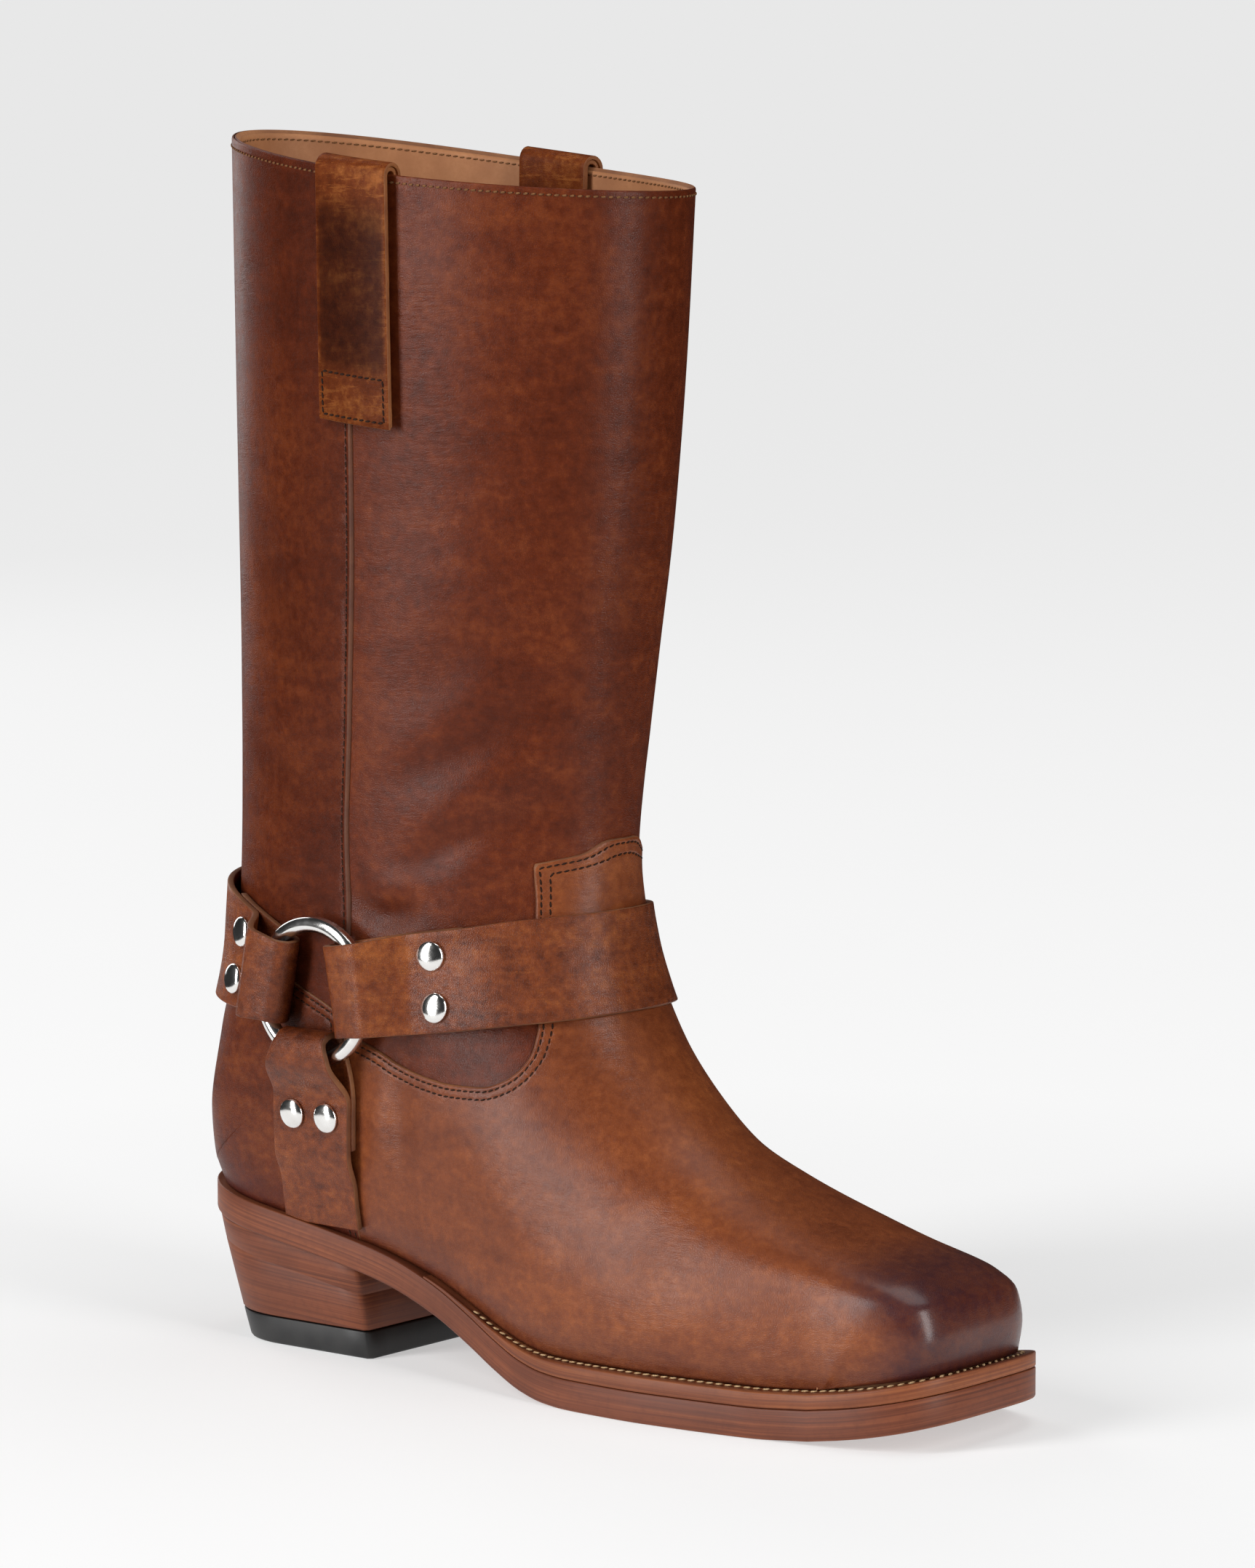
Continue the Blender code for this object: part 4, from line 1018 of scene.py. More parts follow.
def sew(bm, points, normals, stitch):
    """Row of stitches along a run of points on the leather, marked towards their ends."""
    end = bm.verts.layers.float.get("end") or bm.verts.layers.float.new("end")
    tilt = Matrix.Rotation(math.radians(stitch.lean), 4, "Z")
    size = Matrix.Diagonal((stitch.length / 2, stitch.width / 2, stitch.height / 2, 1.0))
    for place, ahead, normal in row_frames(points, normals, stitch.pitch):
        x_axis = Vector(ahead).normalized()
        z_axis = (Vector(normal) - x_axis * x_axis.dot(Vector(normal))).normalized()
        turn = Matrix((x_axis, z_axis.cross(x_axis), z_axis)).transposed().to_4x4()
        centre = Vector(place) + z_axis * stitch.rise
        shape = Matrix.Translation(centre) @ turn @ tilt @ size
        made = bmesh.ops.create_uvsphere(
            bm, u_segments=STITCH_SEGMENTS, v_segments=STITCH_RINGS, radius=1.0, matrix=shape
        )
        for vert in made["verts"]:
            vert[end] = abs((vert.co - centre).dot(x_axis)) / (stitch.length / 2)


def stitch_piece(name, runs, finish, stitch=FINE_STITCH):
    bm = bmesh.new()
    for points, normals in runs:
        sew(bm, points, normals, stitch)
    return finish_piece(bm, name, [finish])


# Upper: wall, back panel, vamp and counter.
Panel = namedtuple(
    "Panel", "name stitches finishes first last pitch field lap_from level rows edge_width rim"
)
PANELS = [
    Panel(
        "back_panel", "side_seam_stitches", [BACK_LEATHER, SEAM_EDGE], "heel turn", "collar",
        BACK_PANEL_PITCH, back_field, SHAFT_LEVEL, BACK_LEVEL, SINGLE_ROW, SEAM_EDGE_WIDTH, rim=1,
    ),
    Panel(
        "vamp_panel", "vamp_stitches", [VAMP_LEATHER, CUT_EDGE], "toe edge", "shaft low",
        PANEL_PITCH, vamp_field, SHAFT_LEVEL, VAMP_LEVEL, DOUBLE_ROW, CUT_WIDTH, rim=0,
    ),
    Panel(
        "counter_panel", "counter_stitches", [COUNTER_LEATHER, CUT_EDGE], "waist", "ankle",
        PANEL_PITCH, counter_field, BACK_LEVEL, COUNTER_LEVEL, DOUBLE_ROW, CUT_WIDTH, rim=0,
    ),
]


def make_wall():
    bm = last_face(section_places("toe edge", "collar", WALL_PITCH), WALL_COLUMNS)
    shape_skin(bm, SHAFT_LEVEL)
    obj = finish_piece(bm, "shaft_wall", [SHAFT_LEATHER, LINING, RIM_EDGE], ["upper"])
    thicken(obj, UPPER_THICKNESS + SHAFT_LEVEL, -1.0, inner=1, rim=2)


def make_panel(panel):
    bm, chains = leather_panel(panel)
    obj = finish_piece(bm, panel.name, panel.finishes)
    thicken(obj, PANEL_BACKING, -1.0, rim=panel.rim)
    stitch_piece(panel.stitches, chains, DARK_THREAD)


make_wall()
for panel in PANELS:
    make_panel(panel)


# Collar stitches, outside and in the lining.
COLLAR_ROW_DROP = 2.8
COLLAR_COLUMNS = 120
COLLAR_MIDDLE = (86.0, 0.0, 0.0)


def collar_run(inside):
    place = len(SECTIONS) - 1 - COLLAR_ROW_DROP / COLLAR_SECTION_HEIGHT
    line = section_line(place, COLLAR_COLUMNS)
    line = np.concatenate([line, line[1:2]])
    ahead = np.roll(line, -1, axis=0) - np.roll(line, 1, axis=0)
    ahead[0], ahead[-1] = ahead[1], ahead[-2]
    normals = np.stack([-ahead[:, 1], ahead[:, 0], 0 * ahead[:, 0]], axis=1)
    normals /= np.linalg.norm(normals, axis=1)[:, None]
    outward = np.sign(np.einsum("ij,ij->i", normals, line - COLLAR_MIDDLE))
    normals *= outward[:, None]
    if inside:
        return line - normals * (UPPER_THICKNESS - STITCH_SINK), -normals
    level = np.where(back_field(line) > 0, BACK_LEVEL, SHAFT_LEVEL)
    return line + normals * level[:, None], normals


stitch_piece("collar_stitches", [collar_run(False), collar_run(True)], COLLAR_THREAD)


# Bar tack where counter, vamp and seam meet.
TACK_TOP = (71.0, 107.0)
TACK_FOOT = (71.6, 97.5)
TACK_COUNT = 9
TACK_REACH = 1.5


def tack_run(side):
    spots, normals = [], []
    for k, share in enumerate(np.linspace(0.0, 1.0, TACK_COUNT)):
        x = TACK_TOP[0] + share * (TACK_FOOT[0] - TACK_TOP[0]) + TACK_REACH * (-1) ** k
        point, normal = side_point(x, TACK_TOP[1] + share * (TACK_FOOT[1] - TACK_TOP[1]), side)
        spots.append(point + normal * COUNTER_LEVEL)
        normals.append(normal)
    return np.array(spots), np.array(normals)


tack_runs = [tack_run(side) for _, side in SIDES]
stitch_piece("bar_tacks", tack_runs, DARK_THREAD, TACK_STITCH)


# Sole: outsole, sock lining and welt.
HEEL_STATIONS = 22
BODY_STATIONS = 84
TOE_STATIONS = 26
ROUND_STEPS = 4
FACE_INSET = 1.0
EdgeRound = namedtuple("EdgeRound", "low high")
OUTSOLE_ROUND = EdgeRound(low=0.9, high=0.45)
SOCK_ROUND = EdgeRound(low=0.3, high=0.8)


def outline_stations():
    """Stations along the foot, closer together where the outline turns."""
    turn = np.linspace(math.pi / 2, 0, HEEL_STATIONS, endpoint=False)
    heel = HEEL_ROUND_X - (HEEL_ROUND_X - FEATHER_BACK) * np.sin(turn) ** (2 / HEEL_ROUND_POWER)
    body = np.linspace(HEEL_ROUND_X, TOE_AXIS_X, BODY_STATIONS, endpoint=False)
    turn = np.linspace(0, math.pi / 2, TOE_STATIONS)
    toe = TOE_AXIS_X + (FEATHER_FRONT - TOE_AXIS_X) * np.sin(turn) ** (2 / TOE_POWER)
    return np.concatenate([heel, body, toe])


STATIONS = outline_stations()


def foot_loop(grow):
    """Outline round the foot grown by grow(x): points of the outer and of the inner side."""
    near = np.stack([STATIONS, -feather_half_width(STATIONS, LATERAL)], axis=1)
    far = np.stack([STATIONS, feather_half_width(STATIONS, MEDIAL)], axis=1)
    loop = np.concatenate([near, far[-2:0:-1]])
    tangent = np.roll(loop, -1, axis=0) - np.roll(loop, 1, axis=0)
    tangent /= np.linalg.norm(tangent, axis=1)[:, None]
    normal = np.stack([tangent[:, 1], -tangent[:, 0]], axis=1)
    grown = loop + normal * grow(loop[:, 0])[:, None]
    count = len(STATIONS)
    return grown[:count], np.concatenate([grown[:1], grown[count:][::-1], grown[count - 1 : count]])


def sole_layer(grow, low, high, edge):
    """Layer of the sole with rounded edges, between two faces that follow the sole line."""
    profile = [(FACE_INSET, high, 0.0)]
    for angle in np.linspace(math.pi / 2, 0, ROUND_STEPS):
        profile.append((edge.high * (1 - math.cos(angle)), high, edge.high * (math.sin(angle) - 1)))
    for angle in np.linspace(0, -math.pi / 2, ROUND_STEPS):
        profile.append((edge.low * (1 - math.cos(angle)), low, edge.low * (math.sin(angle) + 1)))
    profile.append((FACE_INSET + edge.low, low, 0.0))
    near_rows, far_rows = [], []
    for inset, level, rise in profile:
        near, far = foot_loop(lambda x: grow(x) - inset)
        near_rows.append(np.column_stack([near, level(near[:, 0]) + rise]))
        far_rows.append(np.column_stack([far, level(far[:, 0]) + rise]))

    def middle(row, level):
        line = (near_rows[row] + far_rows[row]) / 2
        line[:, 2] = level(line[:, 0])
        return line

    crown = middle(0, high)
    around = [crown] + near_rows + [middle(-1, low)] + far_rows[::-1] + [crown]
    bm = grid_through(np.stack(around, axis=1))
    weld(bm)
    bmesh.ops.recalc_face_normals(bm, faces=bm.faces)
    return bm


def sole_depth(spot):
    """Height of a point above the bottom of the sole."""
    return spot.z - sole_bottom(spot.x)


def sock_growth(x):
    return np.full(len(x), -(UPPER_THICKNESS + INSOLE_GAP))


def sock_bottom(x):
    return outsole_top(x) + FIT_GAP


def sock_top(x):
    return feather_height(x) + INSOLE_RISE


def make_sole():
    bm = sole_layer(welt_width, sole_bottom, outsole_top, OUTSOLE_ROUND)
    mark_layers(bm, sole_depth)
    finish_piece(bm, "outsole_leather", [SOLE_LEATHER], ["outsole"], sharp=SOLE_SHARP_ANGLE)
    bm = sole_layer(sock_growth, sock_bottom, sock_top, SOCK_ROUND)
    finish_piece(bm, "sock_lining", [LINING], ["insole"], sharp=SOLE_SHARP_ANGLE)


WeltPoint = namedtuple("WeltPoint", "share_out offset share_up drop")
WELT_PROFILE = [
    WeltPoint(0.0, -2.4, 0.0, 0.0),
    WeltPoint(1.0, -0.45, 0.0, 0.0),
    WeltPoint(1.0, -0.12, 0.0, -0.12),
    WeltPoint(1.0, 0.0, 0.0, -0.42),
    WeltPoint(1.0, 0.0, 1.0, 0.55),
    WeltPoint(1.0, -0.16, 1.0, 0.16),
    WeltPoint(1.0, -0.55, 1.0, 0.0),
    WeltPoint(0.0, 2.75, 1.0, 0.0),
    WeltPoint(0.0, 2.3, 1.0, 0.4),
    WeltPoint(0.0, 1.3, 1.0, 0.42),
    WeltPoint(0.0, 0.85, 1.0, 0.12),
    WeltPoint(0.0, -2.4, 1.0, 0.0),
]
WELT_STITCH_OFFSET = 1.8
WELT_STITCH_START = 117.0
WELT_STITCH_SINK = 0.3
FULL_WELT = 1.4


def forefoot_run(grow, start_x):
    """Points round the forefoot from the outer waist to the inner waist."""
    near, far = foot_loop(grow)
    first = int(np.argmax(STATIONS > start_x))
    return np.concatenate([near[first:], far[first:-1][::-1]])


def make_welt():
    columns = []
    for point in WELT_PROFILE:
        run = forefoot_run(lambda x: point.share_out * welt_width(x) + point.offset, WELT_END_X)
        thick = welt_thickness(run[:, 0]) - FIT_GAP
        drop = point.drop * np.minimum(1.0, thick / FULL_WELT)
        z = outsole_top(run[:, 0]) + FIT_GAP / 2 + point.share_up * thick - drop
        columns.append(np.column_stack([run, z]))
    bm = grid_through(np.stack(columns + columns[:1], axis=1))
    close_ends(bm)
    mark_layers(bm, sole_depth)
    finish_piece(bm, "welt_strip", [WELT_LEATHER], ["welt"], sharp=EDGE_SHARP_ANGLE)
    run = forefoot_run(lambda x: np.full(len(x), WELT_STITCH_OFFSET), WELT_STITCH_START)
    z = outsole_top(run[:, 0]) + welt_thickness(run[:, 0]) - FIT_GAP / 2 - WELT_STITCH_SINK
    points = np.column_stack([run, z])
    normals = np.tile([0.0, 0.0, 1.0], (len(points), 1))
    stitch_piece("welt_stitches", [(points, normals)], CREAM_THREAD, WELT_STITCH)


make_sole()
make_welt()


# Heel: stacked leather with its layers, and the rubber lift.
HEEL_TURNS = 49
HEEL_SIDE_POINTS = 5
BREAST_POINTS = 8
TOP_LAYER = 8.0
LAYER_NOTCH = 0.16
HEEL_LAYER_SLOPE = -0.06
HEEL_CORNER = 1.2
LEVEL_ROUNDS = 4
HeelEdge = namedtuple("HeelEdge", "rise inset")
STACK_FOOT = [HeelEdge(0.0, 0.6), HeelEdge(0.15, 0.2), HeelEdge(0.5, 0.0)]
LAYER_JOINT = [
    HeelEdge(-0.35, 0.0),
    HeelEdge(-0.06, LAYER_NOTCH),
    HeelEdge(0.06, LAYER_NOTCH),
    HeelEdge(0.35, 0.0),
]
TOP_EDGE = [HeelEdge(-0.5, 0.0), HeelEdge(-0.12, 0.2), HeelEdge(0.0, 0.6)]
LIFT_FOOT = [HeelEdge(0.0, 0.8), HeelEdge(0.25, 0.25), HeelEdge(0.8, 0.0)]


def heel_ring(level_at, inset):
    """Outline of the heel at a level, round at the back and straight at the breast."""
    spots = []
    for t in np.linspace(-math.pi / 2, math.pi / 2, HEEL_TURNS):
        x = FEATHER_BACK
        for _ in range(LEVEL_ROUNDS):
            z = float(level_at(x))
            half = float(heel_half_width(z)) - inset
            reach = max(0.0, math.cos(t)) ** (2 / HEEL_ROUND_POWER)
            x = HEEL_ROUND_X - (HEEL_ROUND_X - float(heel_back(z)) - inset) * reach
        spots.append((x, half * math.copysign(abs(math.sin(t)) ** (2 / HEEL_ROUND_POWER), t), z))

    def side_spot(x, side):
        z = float(level_at(x))
        return x, side * (float(heel_half_width(z)) - inset), z

    breast = float(heel_breast(level_at(heel_breast(0.0)))) - inset
    sides = np.linspace(HEEL_ROUND_X, breast - HEEL_CORNER, HEEL_SIDE_POINTS)[1:]
    spots += [side_spot(x, MEDIAL) for x in sides]
    _, half, z = side_spot(breast, MEDIAL)
    for y in np.linspace(half - HEEL_CORNER, -half + HEEL_CORNER, BREAST_POINTS):
        spots.append((breast, y, z))
    back = np.linspace(breast - HEEL_CORNER, HEEL_ROUND_X, HEEL_SIDE_POINTS)[:-1]
    spots += [side_spot(x, LATERAL) for x in back]
    return spots + spots[:1]


def heel_rings(level_at, edges):
    """Outlines of the heel at the steps of an edge, each raised from a level."""
    return [heel_ring(lambda x: level_at(x) + edge.rise, edge.inset) for edge in edges]


def heel_top(x):
    return sole_bottom(x) - FIT_GAP


def heel_depth(spot):
    """Height of a point within the slanted layers of the heel."""
    return spot.z - HEEL_LAYER_SLOPE * (spot.x - HEEL_ROUND_X)


def heel_piece(name, rings, finish, node):
    bm = grid_through(np.array(rings))
    close_ends(bm)
    mark_layers(bm, heel_depth)
    finish_piece(bm, name, [finish], [node], sharp=EDGE_SHARP_ANGLE)


def make_heel():
    rings = heel_rings(lambda x: LIFT_THICKNESS + FIT_GAP, STACK_FOOT)
    rings += heel_rings(lambda x: heel_top(x) - TOP_LAYER, LAYER_JOINT)
    rings += heel_rings(heel_top, TOP_EDGE)
    heel_piece("stacked_heel", rings, SOLE_LEATHER, "heel_stack")
    rings = heel_rings(lambda x: 0.0, LIFT_FOOT) + heel_rings(lambda x: LIFT_THICKNESS, TOP_EDGE)
    heel_piece("rubber_lift", rings, LIFT_RUBBER, "heel_lift")


make_heel()


# Harness straps.

class SurfacePath:
    """Path on the face of the last: s along it, w across it, h above the leather."""

    def __init__(self, place):
        self.place = place

    def lay(self, s, w, h):
        along = self.place(s + NORMAL_STEP, w) - self.place(s - NORMAL_STEP, w)
        across = self.place(s, w + NORMAL_STEP) - self.place(s, w - NORMAL_STEP)
        normal = along.cross(across).normalized()
        point = self.place(s, w)
        if normal.dot(Vector((point.x - RING_X, point.y, 0.0))) < 0:
            normal = -normal
        return point + normal * h, normal


def run_lengths(points):
    gaps = [(b - a).length for a, b in zip(points, points[1:])]
    return np.concatenate([[0.0], np.cumsum(gaps)])


def band_path(pivot_x, slope, facing):
    """Path round the ankle in a tilted plane, from the outer ring to the inner ring."""
    lean = math.atan(slope)
    ahead = Vector((math.cos(lean), 0.0, math.sin(lean)))
    across = Vector((-math.sin(lean), 0.0, math.cos(lean)))
    pivot = Vector((pivot_x, 0.0, RING_Z + slope * (pivot_x - RING_X)))

    def at_angle(angle, w):
        direction = ahead * (facing * math.cos(angle)) + Vector((0.0, math.sin(angle), 0.0))
        return surface_point(pivot + across * w, direction)[0]

    angles = np.radians(np.arange(-BAND_SWEEP, BAND_SWEEP + 1.0))
    points = [at_angle(angle, 0.0) for angle in angles]
    length = run_lengths(points)
    xs = np.array([p.x for p in points])
    half = len(angles) // 2
    start = np.interp(RING_X * facing, xs[:half] * facing, length[:half])
    end = np.interp(-RING_X * facing, -xs[half:] * facing, length[half:])

    def place(s, w):
        return at_angle(float(np.interp(start + s, length, angles)), w)

    return SurfacePath(place), end - start


def side_path(side):
    """Path down the side of the heel from the ring centre to the sole."""
    heights = np.arange(RING_Z + SIDE_PATH_ABOVE, SIDE_PATH_FOOT_Z, -1.0)

    def at_height(z, w):
        share = (RING_Z - z) / (RING_Z - SIDE_PATH_FOOT_Z)
        x = SIDE_STRAP_TOP_X + (SIDE_STRAP_FOOT_X - SIDE_STRAP_TOP_X) * share + w
        on_upper = max(z, float(feather_height(x)) + SIDE_PATH_MARGIN)
        return side_point(x, on_upper, side)[0] + Vector((0.0, 0.0, z - on_upper))

    length = run_lengths([at_height(z, 0.0) for z in heights])
    start = float(np.interp(-RING_Z, -heights, length))

    def place(s, w):
        return at_height(float(np.interp(start + s, length, heights)), w)

    return SurfacePath(place), float(length[-1]) - start


def strap_width(strap, s):
    share = min(1.0, max(0.0, s - WIDEN_START) / strap.widen_over)
    return strap.fold_width + (strap.far_width - strap.fold_width) * math.sin(share * math.pi / 2)


def spaced(start, end, least=1):
    """Places from a start to an end about one pitch apart, the start left out."""
    count = max(least, round(abs(end - start) / STRAP_PITCH))
    return np.linspace(start, end, count + 1)[1:]


def fold_profile(strap, lift, sideways=0.0):
    """Strap from its returned end, round the ring wire, to the end of the double layer."""
    low = STRAP_GAP + STRAP_THICKNESS / 2
    double = low + STRAP_THICKNESS + LAYER_GAP
    turn_radius = RING_WIRE_RADIUS + RING_CLEARANCE + STRAP_THICKNESS / 2
    reach = strap.fold_width / 2 + abs(sideways)
    turn_s = math.sqrt(RING_RADIUS ** 2 - reach ** 2) - RING_CLEARANCE
    centre_h = STRAP_GAP + STRAP_THICKNESS + RING_CLEARANCE + RING_WIRE_RADIUS
    profile = [(strap.return_end, low)]
    profile += [(s, low) for s in spaced(strap.return_end, turn_s, least=2)]
    for k in range(1, FOLD_TURNS):
        angle = math.pi * k / FOLD_TURNS
        profile.append((turn_s - turn_radius * math.sin(angle), centre_h - turn_radius * math.cos(angle)))
    crest = centre_h + turn_radius + lift
    profile.append((turn_s, centre_h + turn_radius))
    profile.append((RING_RADIUS, crest))
    for share in np.linspace(0.0, 1.0, SETTLE_STEPS + 1)[1:]:
        ease = smooth_step(0.0, 1.0, share)
        profile.append((RING_RADIUS + strap.settle * share, crest - (crest - double) * ease))
    profile += [(s, double) for s in spaced(profile[-1][0], strap.return_end + RETURN_MARGIN)]
    return profile, low, double


def step_down(start, length, low, double):
    """Strap settling from the double layer to the single one."""
    end = start + length
    places = spaced(start, end, LEAST_STEPS)
    return [(s, double - (double - low) * smooth_step(start, end, s)) for s in places]


def ribbon(path, profile, width_at, columns, end_at=None):
    """Middle face of a strap that follows a profile of (s, h) pairs along a path."""
    rows = []
    for number, (s, h) in enumerate(profile):
        half = width_at(s) / 2
        across = np.linspace(-half, half, columns + 1)
        last = end_at and number == len(profile) - 1
        rows.append([path.lay(end_at(w) if last else s, w, h)[0][:] for w in across])
    bm = grid_through(np.array(rows))
    bm.normal_update()
    return bm


def strap_piece(bm, name, node):
    obj = finish_piece(bm, name, [STRAP_LEATHER, CUT_EDGE], [node])
    thicken(obj, STRAP_THICKNESS, 0.0, rim=1)
    soften(obj, STRAP_EDGE_ROUND)


def turn_up(bm, steps, place, axis):
    """Spin a half profile into a round piece and set it up on an axis."""
    bmesh.ops.spin(
        bm, geom=bm.verts[:] + bm.edges[:], cent=(0, 0, 0), axis=(0, 0, 1), dvec=(0, 0, 0),
        angle=2 * math.pi, steps=steps, use_merge=True,
    )
    bmesh.ops.remove_doubles(bm, verts=bm.verts, dist=FINE_WELD)
    bmesh.ops.recalc_face_normals(bm, faces=bm.faces)
    turn = Vector(axis).to_track_quat("Z", "Y").to_matrix().to_4x4()
    bmesh.ops.transform(bm, matrix=Matrix.Translation(place) @ turn, verts=bm.verts)


def make_stud(spot, name, node):
    """Domed stud head turned from its half profile."""
    bm = bmesh.new()
    verts = [bm.verts.new((radius, 0.0, height)) for radius, height in STUD_PROFILE]
    for pair in zip(verts, verts[1:]):
        bm.edges.new(pair)
    turn_up(bm, STUD_STEPS, *spot)
    finish_piece(bm, name, [NICKEL], [node], sharp=STUD_SHARP_ANGLE)


def make_band(word, strap, pivot_x, facing):
    path, length = band_path(pivot_x, strap.slope, facing)
    half, low, double = fold_profile(strap, RING_LIFT)
    start = strap.return_end + RETURN_MARGIN
    middle = length / 2
    step = min(SOFT_STEP, middle - start - STRAP_PITCH)
    half += step_down(start, step, low, double)
    half += [(s, low) for s in spaced(start + step, middle)]
    profile = half + [(length - s, h) for s, h in half[-2::-1]]
    bm = ribbon(path, profile, lambda s: strap_width(strap, min(s, length - s)), STRAP_COLUMNS)
    strap_piece(bm, f"harness_{word}", f"{word}_strap")
    for end, s in (("outer", strap.studs), ("inner", length - strap.studs)):
        for level, w in (("upper", strap.stud_spread), ("lower", -strap.stud_spread)):
            spot = path.lay(s, w, double + STRAP_THICKNESS / 2 + STRAP_GAP)
            make_stud(spot, f"stud_{word}_{end}_{level}", f"rivet_{word}_{end}_{level}")


def make_side_strap(word, side):
    path, length = side_path(side)
    half, low, double = fold_profile(SIDE_STRAP, 0.0, RING_X - SIDE_STRAP_TOP_X)
    start = SIDE_STRAP.return_end + RETURN_MARGIN

    def end_at(w):
        for s in np.arange(start, length, END_SEARCH_STEP):
            point = path.place(s, w)
            if point.z < outsole_top(point.x) + 2 * FIT_GAP:
                return s
        return length

    profile = half + step_down(start, STEP_LENGTH, low, double)
    settle = start + STEP_LENGTH
    edge = SIDE_STRAP.far_width / 2
    shortest = min(end_at(w) for w in np.linspace(-edge, edge, END_SEARCH_COLUMNS))
    if shortest - settle > 2 * STRAP_PITCH:
        count = int((shortest - settle) / STRAP_PITCH)
        profile += [(s, low) for s in np.linspace(settle, shortest - STRAP_PITCH, count)[1:]]
    profile.append((length, low))
    bm = ribbon(path, profile, lambda s: strap_width(SIDE_STRAP, s), STRAP_COLUMNS, end_at)
    strap_piece(bm, f"harness_side_{word}", f"side_strap_{word}")
    for level, w in (("front", SIDE_STRAP.stud_spread), ("rear", -SIDE_STRAP.stud_spread)):
        spot = path.lay(SIDE_STRAP.studs, w, double + STRAP_THICKNESS / 2 + STRAP_GAP)
        make_stud(spot, f"stud_side_{word}_{level}", f"rivet_side_{word}_{level}")


def make_ring(word, joint):
    """Wire ring turned about its own joint axis."""
    bm = bmesh.new()
    wire = bmesh.ops.create_circle(bm, segments=RING_WIRE_SEGMENTS, radius=RING_WIRE_RADIUS)["verts"]
    stand = Matrix.Translation((RING_RADIUS, 0.0, 0.0)) @ Matrix.Rotation(math.pi / 2, 4, "X")
    bmesh.ops.transform(bm, matrix=stand, verts=wire)
    centre = Vector(joint["pos_m"]) / MM + Vector((ORIGIN_X, 0.0, 0.0))
    turn_up(bm, RING_STEPS, centre, joint["axis"])
    finish_piece(bm, f"harness_ring_{word}", [NICKEL], [f"ring_{word}"], body=f"ring_{word}")


# Pull straps: two layers with turned edges over the collar, sewn in a box at the bottom.
PULL_LAYER = 1.25
# Width of the painted highlight along each turned edge of a pull strap's face.
PULL_EDGE_HIGHLIGHT = 1.8
PULL_COLUMNS = 16
PULL_STITCH_INSET = 1.7
PULL_BOX_TOP = 58.0
PULL_BOX_STEPS = 9
PULL_BOX_FADE = (PULL_BOX_TOP - 4.0, PULL_BOX_TOP + 2.0)
PULL_BOX_PALE = 0.75
PULL_BURNISH_RANGE = (3.0, 16.0)
PULL_OUTER_ROWS = 28
PULL_BEND_ROWS = 13
PULL_INNER_ROWS = 18
PULL_EDGE_ROUND = 0.3
PULL_SLIP = 0.1
PullLayer = namedtuple("PullLayer", "name rise trim nodes")
PULL_LAYERS = [
    PullLayer("outer_layer", 1.5 * PULL_LAYER + PULL_SLIP, 0.0, ["pull_strap_{}"]),
    PullLayer("inner_layer", 0.5 * PULL_LAYER, 0.5, []),
]


def pull_path(side):
    def place(s, w):
        x = PULL_X + w
        rim = float(collar_height(x)) - RIM_MARGIN
        point = side_point(x, rim - max(s, 0.0), side)[0]
        return point + Vector((0.0, 0.0, -min(s, 0.0)))

    return SurfacePath(place)


def pull_layer(path, rise, trim):
    """One layer of a pull strap, from its outer end over the collar to its inner end."""
    out = STRAP_GAP + rise
    inside = -(UPPER_THICKNESS + STRAP_GAP + rise)
    middle = (out + inside) / 2
    radius = (out - inside) / 2
    profile = [(s, out) for s in np.linspace(PULL_OUTSIDE - trim, PULL_BEND, PULL_OUTER_ROWS)]
    for angle in np.linspace(0.0, math.pi, PULL_BEND_ROWS):
        profile.append((-(PULL_RISE + rise) * math.sin(angle), middle + radius * math.cos(angle)))
    profile += [(s, inside) for s in np.linspace(PULL_BEND, PULL_INSIDE - trim, PULL_INNER_ROWS)]
    bm = ribbon(path, profile, lambda s: PULL_WIDTH - 2 * trim, PULL_COLUMNS)
    burnish = bm.verts.layers.float.new("burnish")
    points = vert_array(bm)
    below = collar_height(points[:, 0]) - points[:, 2]
    dark = smooth_step(*PULL_BURNISH_RANGE, below)
    dark *= 1 - PULL_BOX_PALE * smooth_step(*PULL_BOX_FADE, below)
    # Painted highlight: no darkening along the turned edges of the face.
    dark *= 1 - smooth_step(PULL_WIDTH / 2 - PULL_EDGE_HIGHLIGHT, PULL_WIDTH / 2, np.abs(points[:, 0] - PULL_X))
    for vert, shade in zip(bm.verts, dark):
        vert[burnish] = shade
    return bm


def pull_runs(path):
    """Box of stitches at the outer end of a pull strap."""
    half = PULL_WIDTH / 2 - PULL_STITCH_INSET
    foot = PULL_OUTSIDE - PULL_STITCH_INSET
    top = PULL_BOX_TOP
    face = STRAP_GAP + 2 * PULL_LAYER + PULL_SLIP
    corners = [(top, -half), (top, half), (foot, half), (foot, -half), (top, -half)]
    runs = []
    for (s0, w0), (s1, w1) in zip(corners, corners[1:]):
        shares = np.linspace(0.0, 1.0, PULL_BOX_STEPS)
        laid = [path.lay(s0 + (s1 - s0) * t, w0 + (w1 - w0) * t, face) for t in shares]
        runs.append((np.array([p[:] for p, _ in laid]), np.array([n[:] for _, n in laid])))
    return runs


def make_pull_strap(word, side):
    path = pull_path(side)
    for layer in PULL_LAYERS:
        bm = pull_layer(path, layer.rise, layer.trim)
        name = f"pull_tab_{word}_{layer.name}"
        nodes = [node.format(word) for node in layer.nodes]
        obj = finish_piece(bm, name, [PULL_LEATHER, TURNED_EDGE], nodes)
        thicken(obj, PULL_LAYER, 0.0, rim=1)
        soften(obj, PULL_EDGE_ROUND)
    stitch_piece(f"pull_tab_{word}_stitches", pull_runs(path), DARK_THREAD)


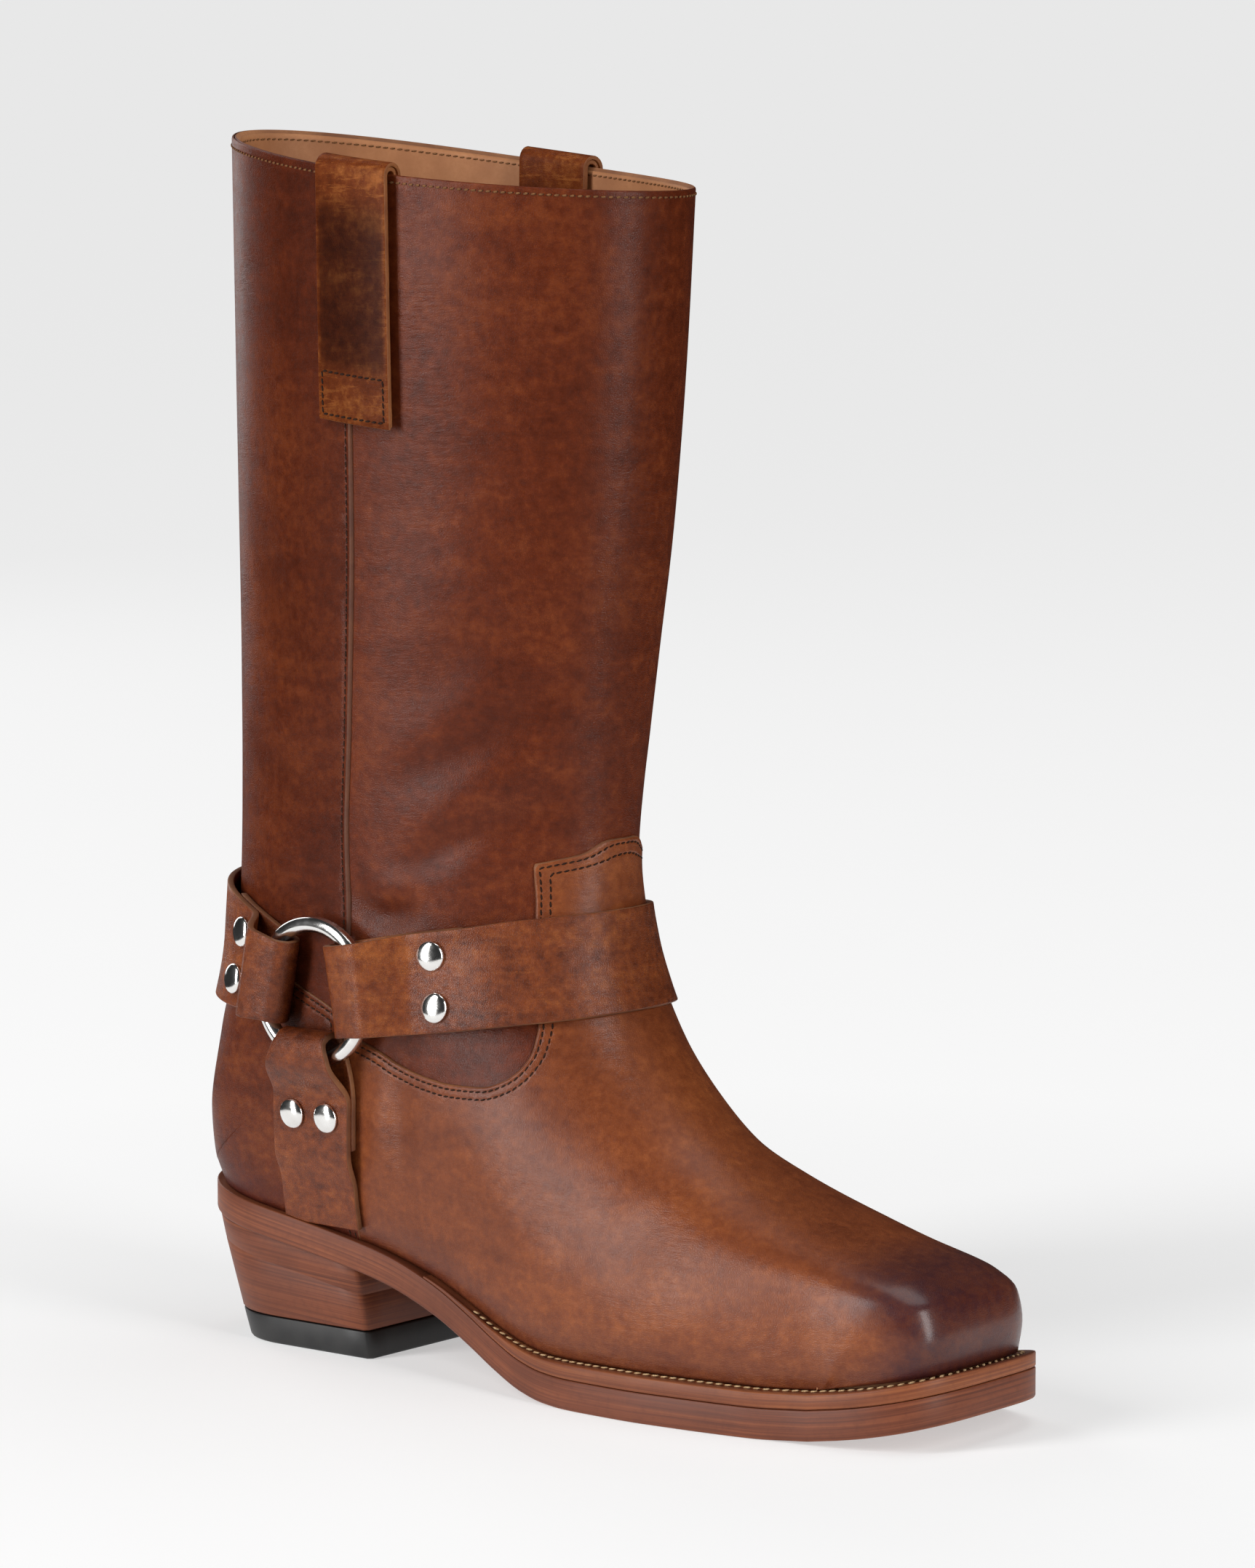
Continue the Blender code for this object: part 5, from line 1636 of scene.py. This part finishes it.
make_band("front", FRONT_STRAP, FRONT_PIVOT_X, 1)
make_band("back", BACK_STRAP, BACK_PIVOT_X, -1)
for word, side in SIDES:
    make_side_strap(word, side)
    make_pull_strap(word, side)
joints = {joint["child"]: joint for joint in frame["record"]["behaviour"]["joints"]}
for word, _ in SIDES:
    make_ring(word, joints[f"ring_{word}"])


# Floor, light and camera.
CAMERA_PLACE = (1.1625, -1.4537, 0.4047)
CAMERA_AZIMUTH = 38.44
CAMERA_PITCH = 7.06
CAMERA_LENS = 149.0
SENSOR_WIDTH = 36.0
CLIP_END = 200.0
NEAR_FLOOR_RADIUS = 0.5
FLOOR_RADIUS = 14.0
SWEEP_RADIUS = 4.0
SWEEP_HEIGHT = 8.0
SWEEP_STEPS = 12
FLOOR_SEGMENTS = 96
FLOOR_GLOW = 0.80
NEAR_GLOW = 0.48
NEAR_SHADE = 0.50
FAR_SHADE = 0.17
SHADOW_RADIUS = 0.16
WORLD_STRENGTH = 0.03
WORLD_COLOUR = (0.90, 0.91, 0.93, 1.0)
LIGHT_TARGET = Vector((0.0, 0.0, 0.15))
SoftBox = namedtuple("SoftBox", "name place width height watts")
SOFT_BOXES = [
    SoftBox("left box", (-0.90, -2.05, 0.95), 0.75, 2.9, 68.0),
    SoftBox("right box", (2.15, -0.36, 0.80), 0.6, 2.1, 38.0),
    SoftBox("top box", (0.2, 0.4, 2.3), 1.4, 1.2, 13.0),
    SoftBox("back box", (-2.10, 0.85, 0.95), 0.8, 2.0, 12.0),
]


def floor_finish():
    """Pale matt floor that takes the boot's shadow near it and glows evenly further out."""
    floor = Finish("studio floor")
    reach = floor.add("ShaderNodeVectorMath", {0: floor.coords}, operation="LENGTH").outputs["Value"]
    far = floor.span(reach, 0.0, 1.0, start=SHADOW_RADIUS, end=NEAR_FLOOR_RADIUS)
    paper = floor.span(floor.noise(6.0, detail=2.0), 0.0, 0.01)
    floor.put("Base Color", floor.plus(floor.span(far, NEAR_SHADE, FAR_SHADE), paper))
    floor.put("Roughness", 0.8)
    floor.put("Specular IOR Level", 0.1)
    floor.put("Emission Color", (1.0, 1.0, 1.0, 1.0))
    floor.put("Emission Strength", floor.span(far, NEAR_GLOW, FLOOR_GLOW))
    return floor.material


def stage_piece(bm, name, finish, near):
    """Stage mesh; only the near floor shows in the gloss of the boot."""
    bmesh.ops.recalc_face_normals(bm, faces=bm.faces)
    mesh = bpy.data.meshes.new(name)
    bm.to_mesh(mesh)
    bm.free()
    mesh.shade_smooth()
    mesh.materials.append(finish)
    obj = bpy.data.objects.new(name, mesh)
    obj.visible_glossy = near
    obj.visible_diffuse = near
    obj.visible_shadow = False
    bpy.context.scene.collection.objects.link(obj)


def make_floor():
    """Pale studio sweep: a round floor whose rim curves up into a wall."""
    finish = floor_finish()
    bm = bmesh.new()
    bmesh.ops.create_circle(bm, cap_ends=True, segments=FLOOR_SEGMENTS, radius=NEAR_FLOOR_RADIUS)
    stage_piece(bm, "studio_floor", finish, True)
    bm = bmesh.new()
    bmesh.ops.create_circle(bm, segments=FLOOR_SEGMENTS, radius=NEAR_FLOOR_RADIUS)
    rings = [(FLOOR_RADIUS, 0.0)]
    for angle in np.linspace(0.0, math.pi / 2, SWEEP_STEPS + 1)[1:]:
        rings.append((FLOOR_RADIUS + SWEEP_RADIUS * math.sin(angle), SWEEP_HEIGHT * (1 - math.cos(angle))))
    rim = bm.edges[:]
    for radius, height in rings:
        raised = bmesh.ops.extrude_edge_only(bm, edges=rim)["geom"]
        rim = [item for item in raised if isinstance(item, bmesh.types.BMEdge)]
        for vert in [item for item in raised if isinstance(item, bmesh.types.BMVert)]:
            outward = vert.co.xy.normalized() * radius
            vert.co = (outward.x, outward.y, height)
    stage_piece(bm, "studio_sweep", finish, False)


def make_light(box):
    light = bpy.data.lights.new(box.name, "AREA")
    light.shape = "RECTANGLE"
    light.size = box.width
    light.size_y = box.height
    light.energy = box.watts
    lamp = bpy.data.objects.new(box.name, light)
    lamp.location = box.place
    lamp.rotation_euler = (LIGHT_TARGET - Vector(box.place)).to_track_quat("-Z", "Y").to_euler()
    bpy.context.scene.collection.objects.link(lamp)


def make_world():
    world = bpy.data.worlds.new("studio")
    world.use_nodes = True
    backdrop = world.node_tree.nodes["Background"]
    backdrop.inputs["Color"].default_value = WORLD_COLOUR
    backdrop.inputs["Strength"].default_value = WORLD_STRENGTH
    bpy.context.scene.world = world


def make_camera():
    camera = bpy.data.cameras.new("camera")
    camera.lens = CAMERA_LENS
    camera.sensor_width = SENSOR_WIDTH
    camera.clip_end = CLIP_END
    obj = bpy.data.objects.new("camera", camera)
    obj.location = CAMERA_PLACE
    obj.rotation_euler = (math.radians(90.0 - CAMERA_PITCH), 0.0, math.radians(CAMERA_AZIMUTH))
    bpy.context.scene.collection.objects.link(obj)
    bpy.context.scene.camera = obj


make_floor()
make_world()
for box in SOFT_BOXES:
    make_light(box)
make_camera()
bpy.context.scene.view_settings.view_transform = "Standard"
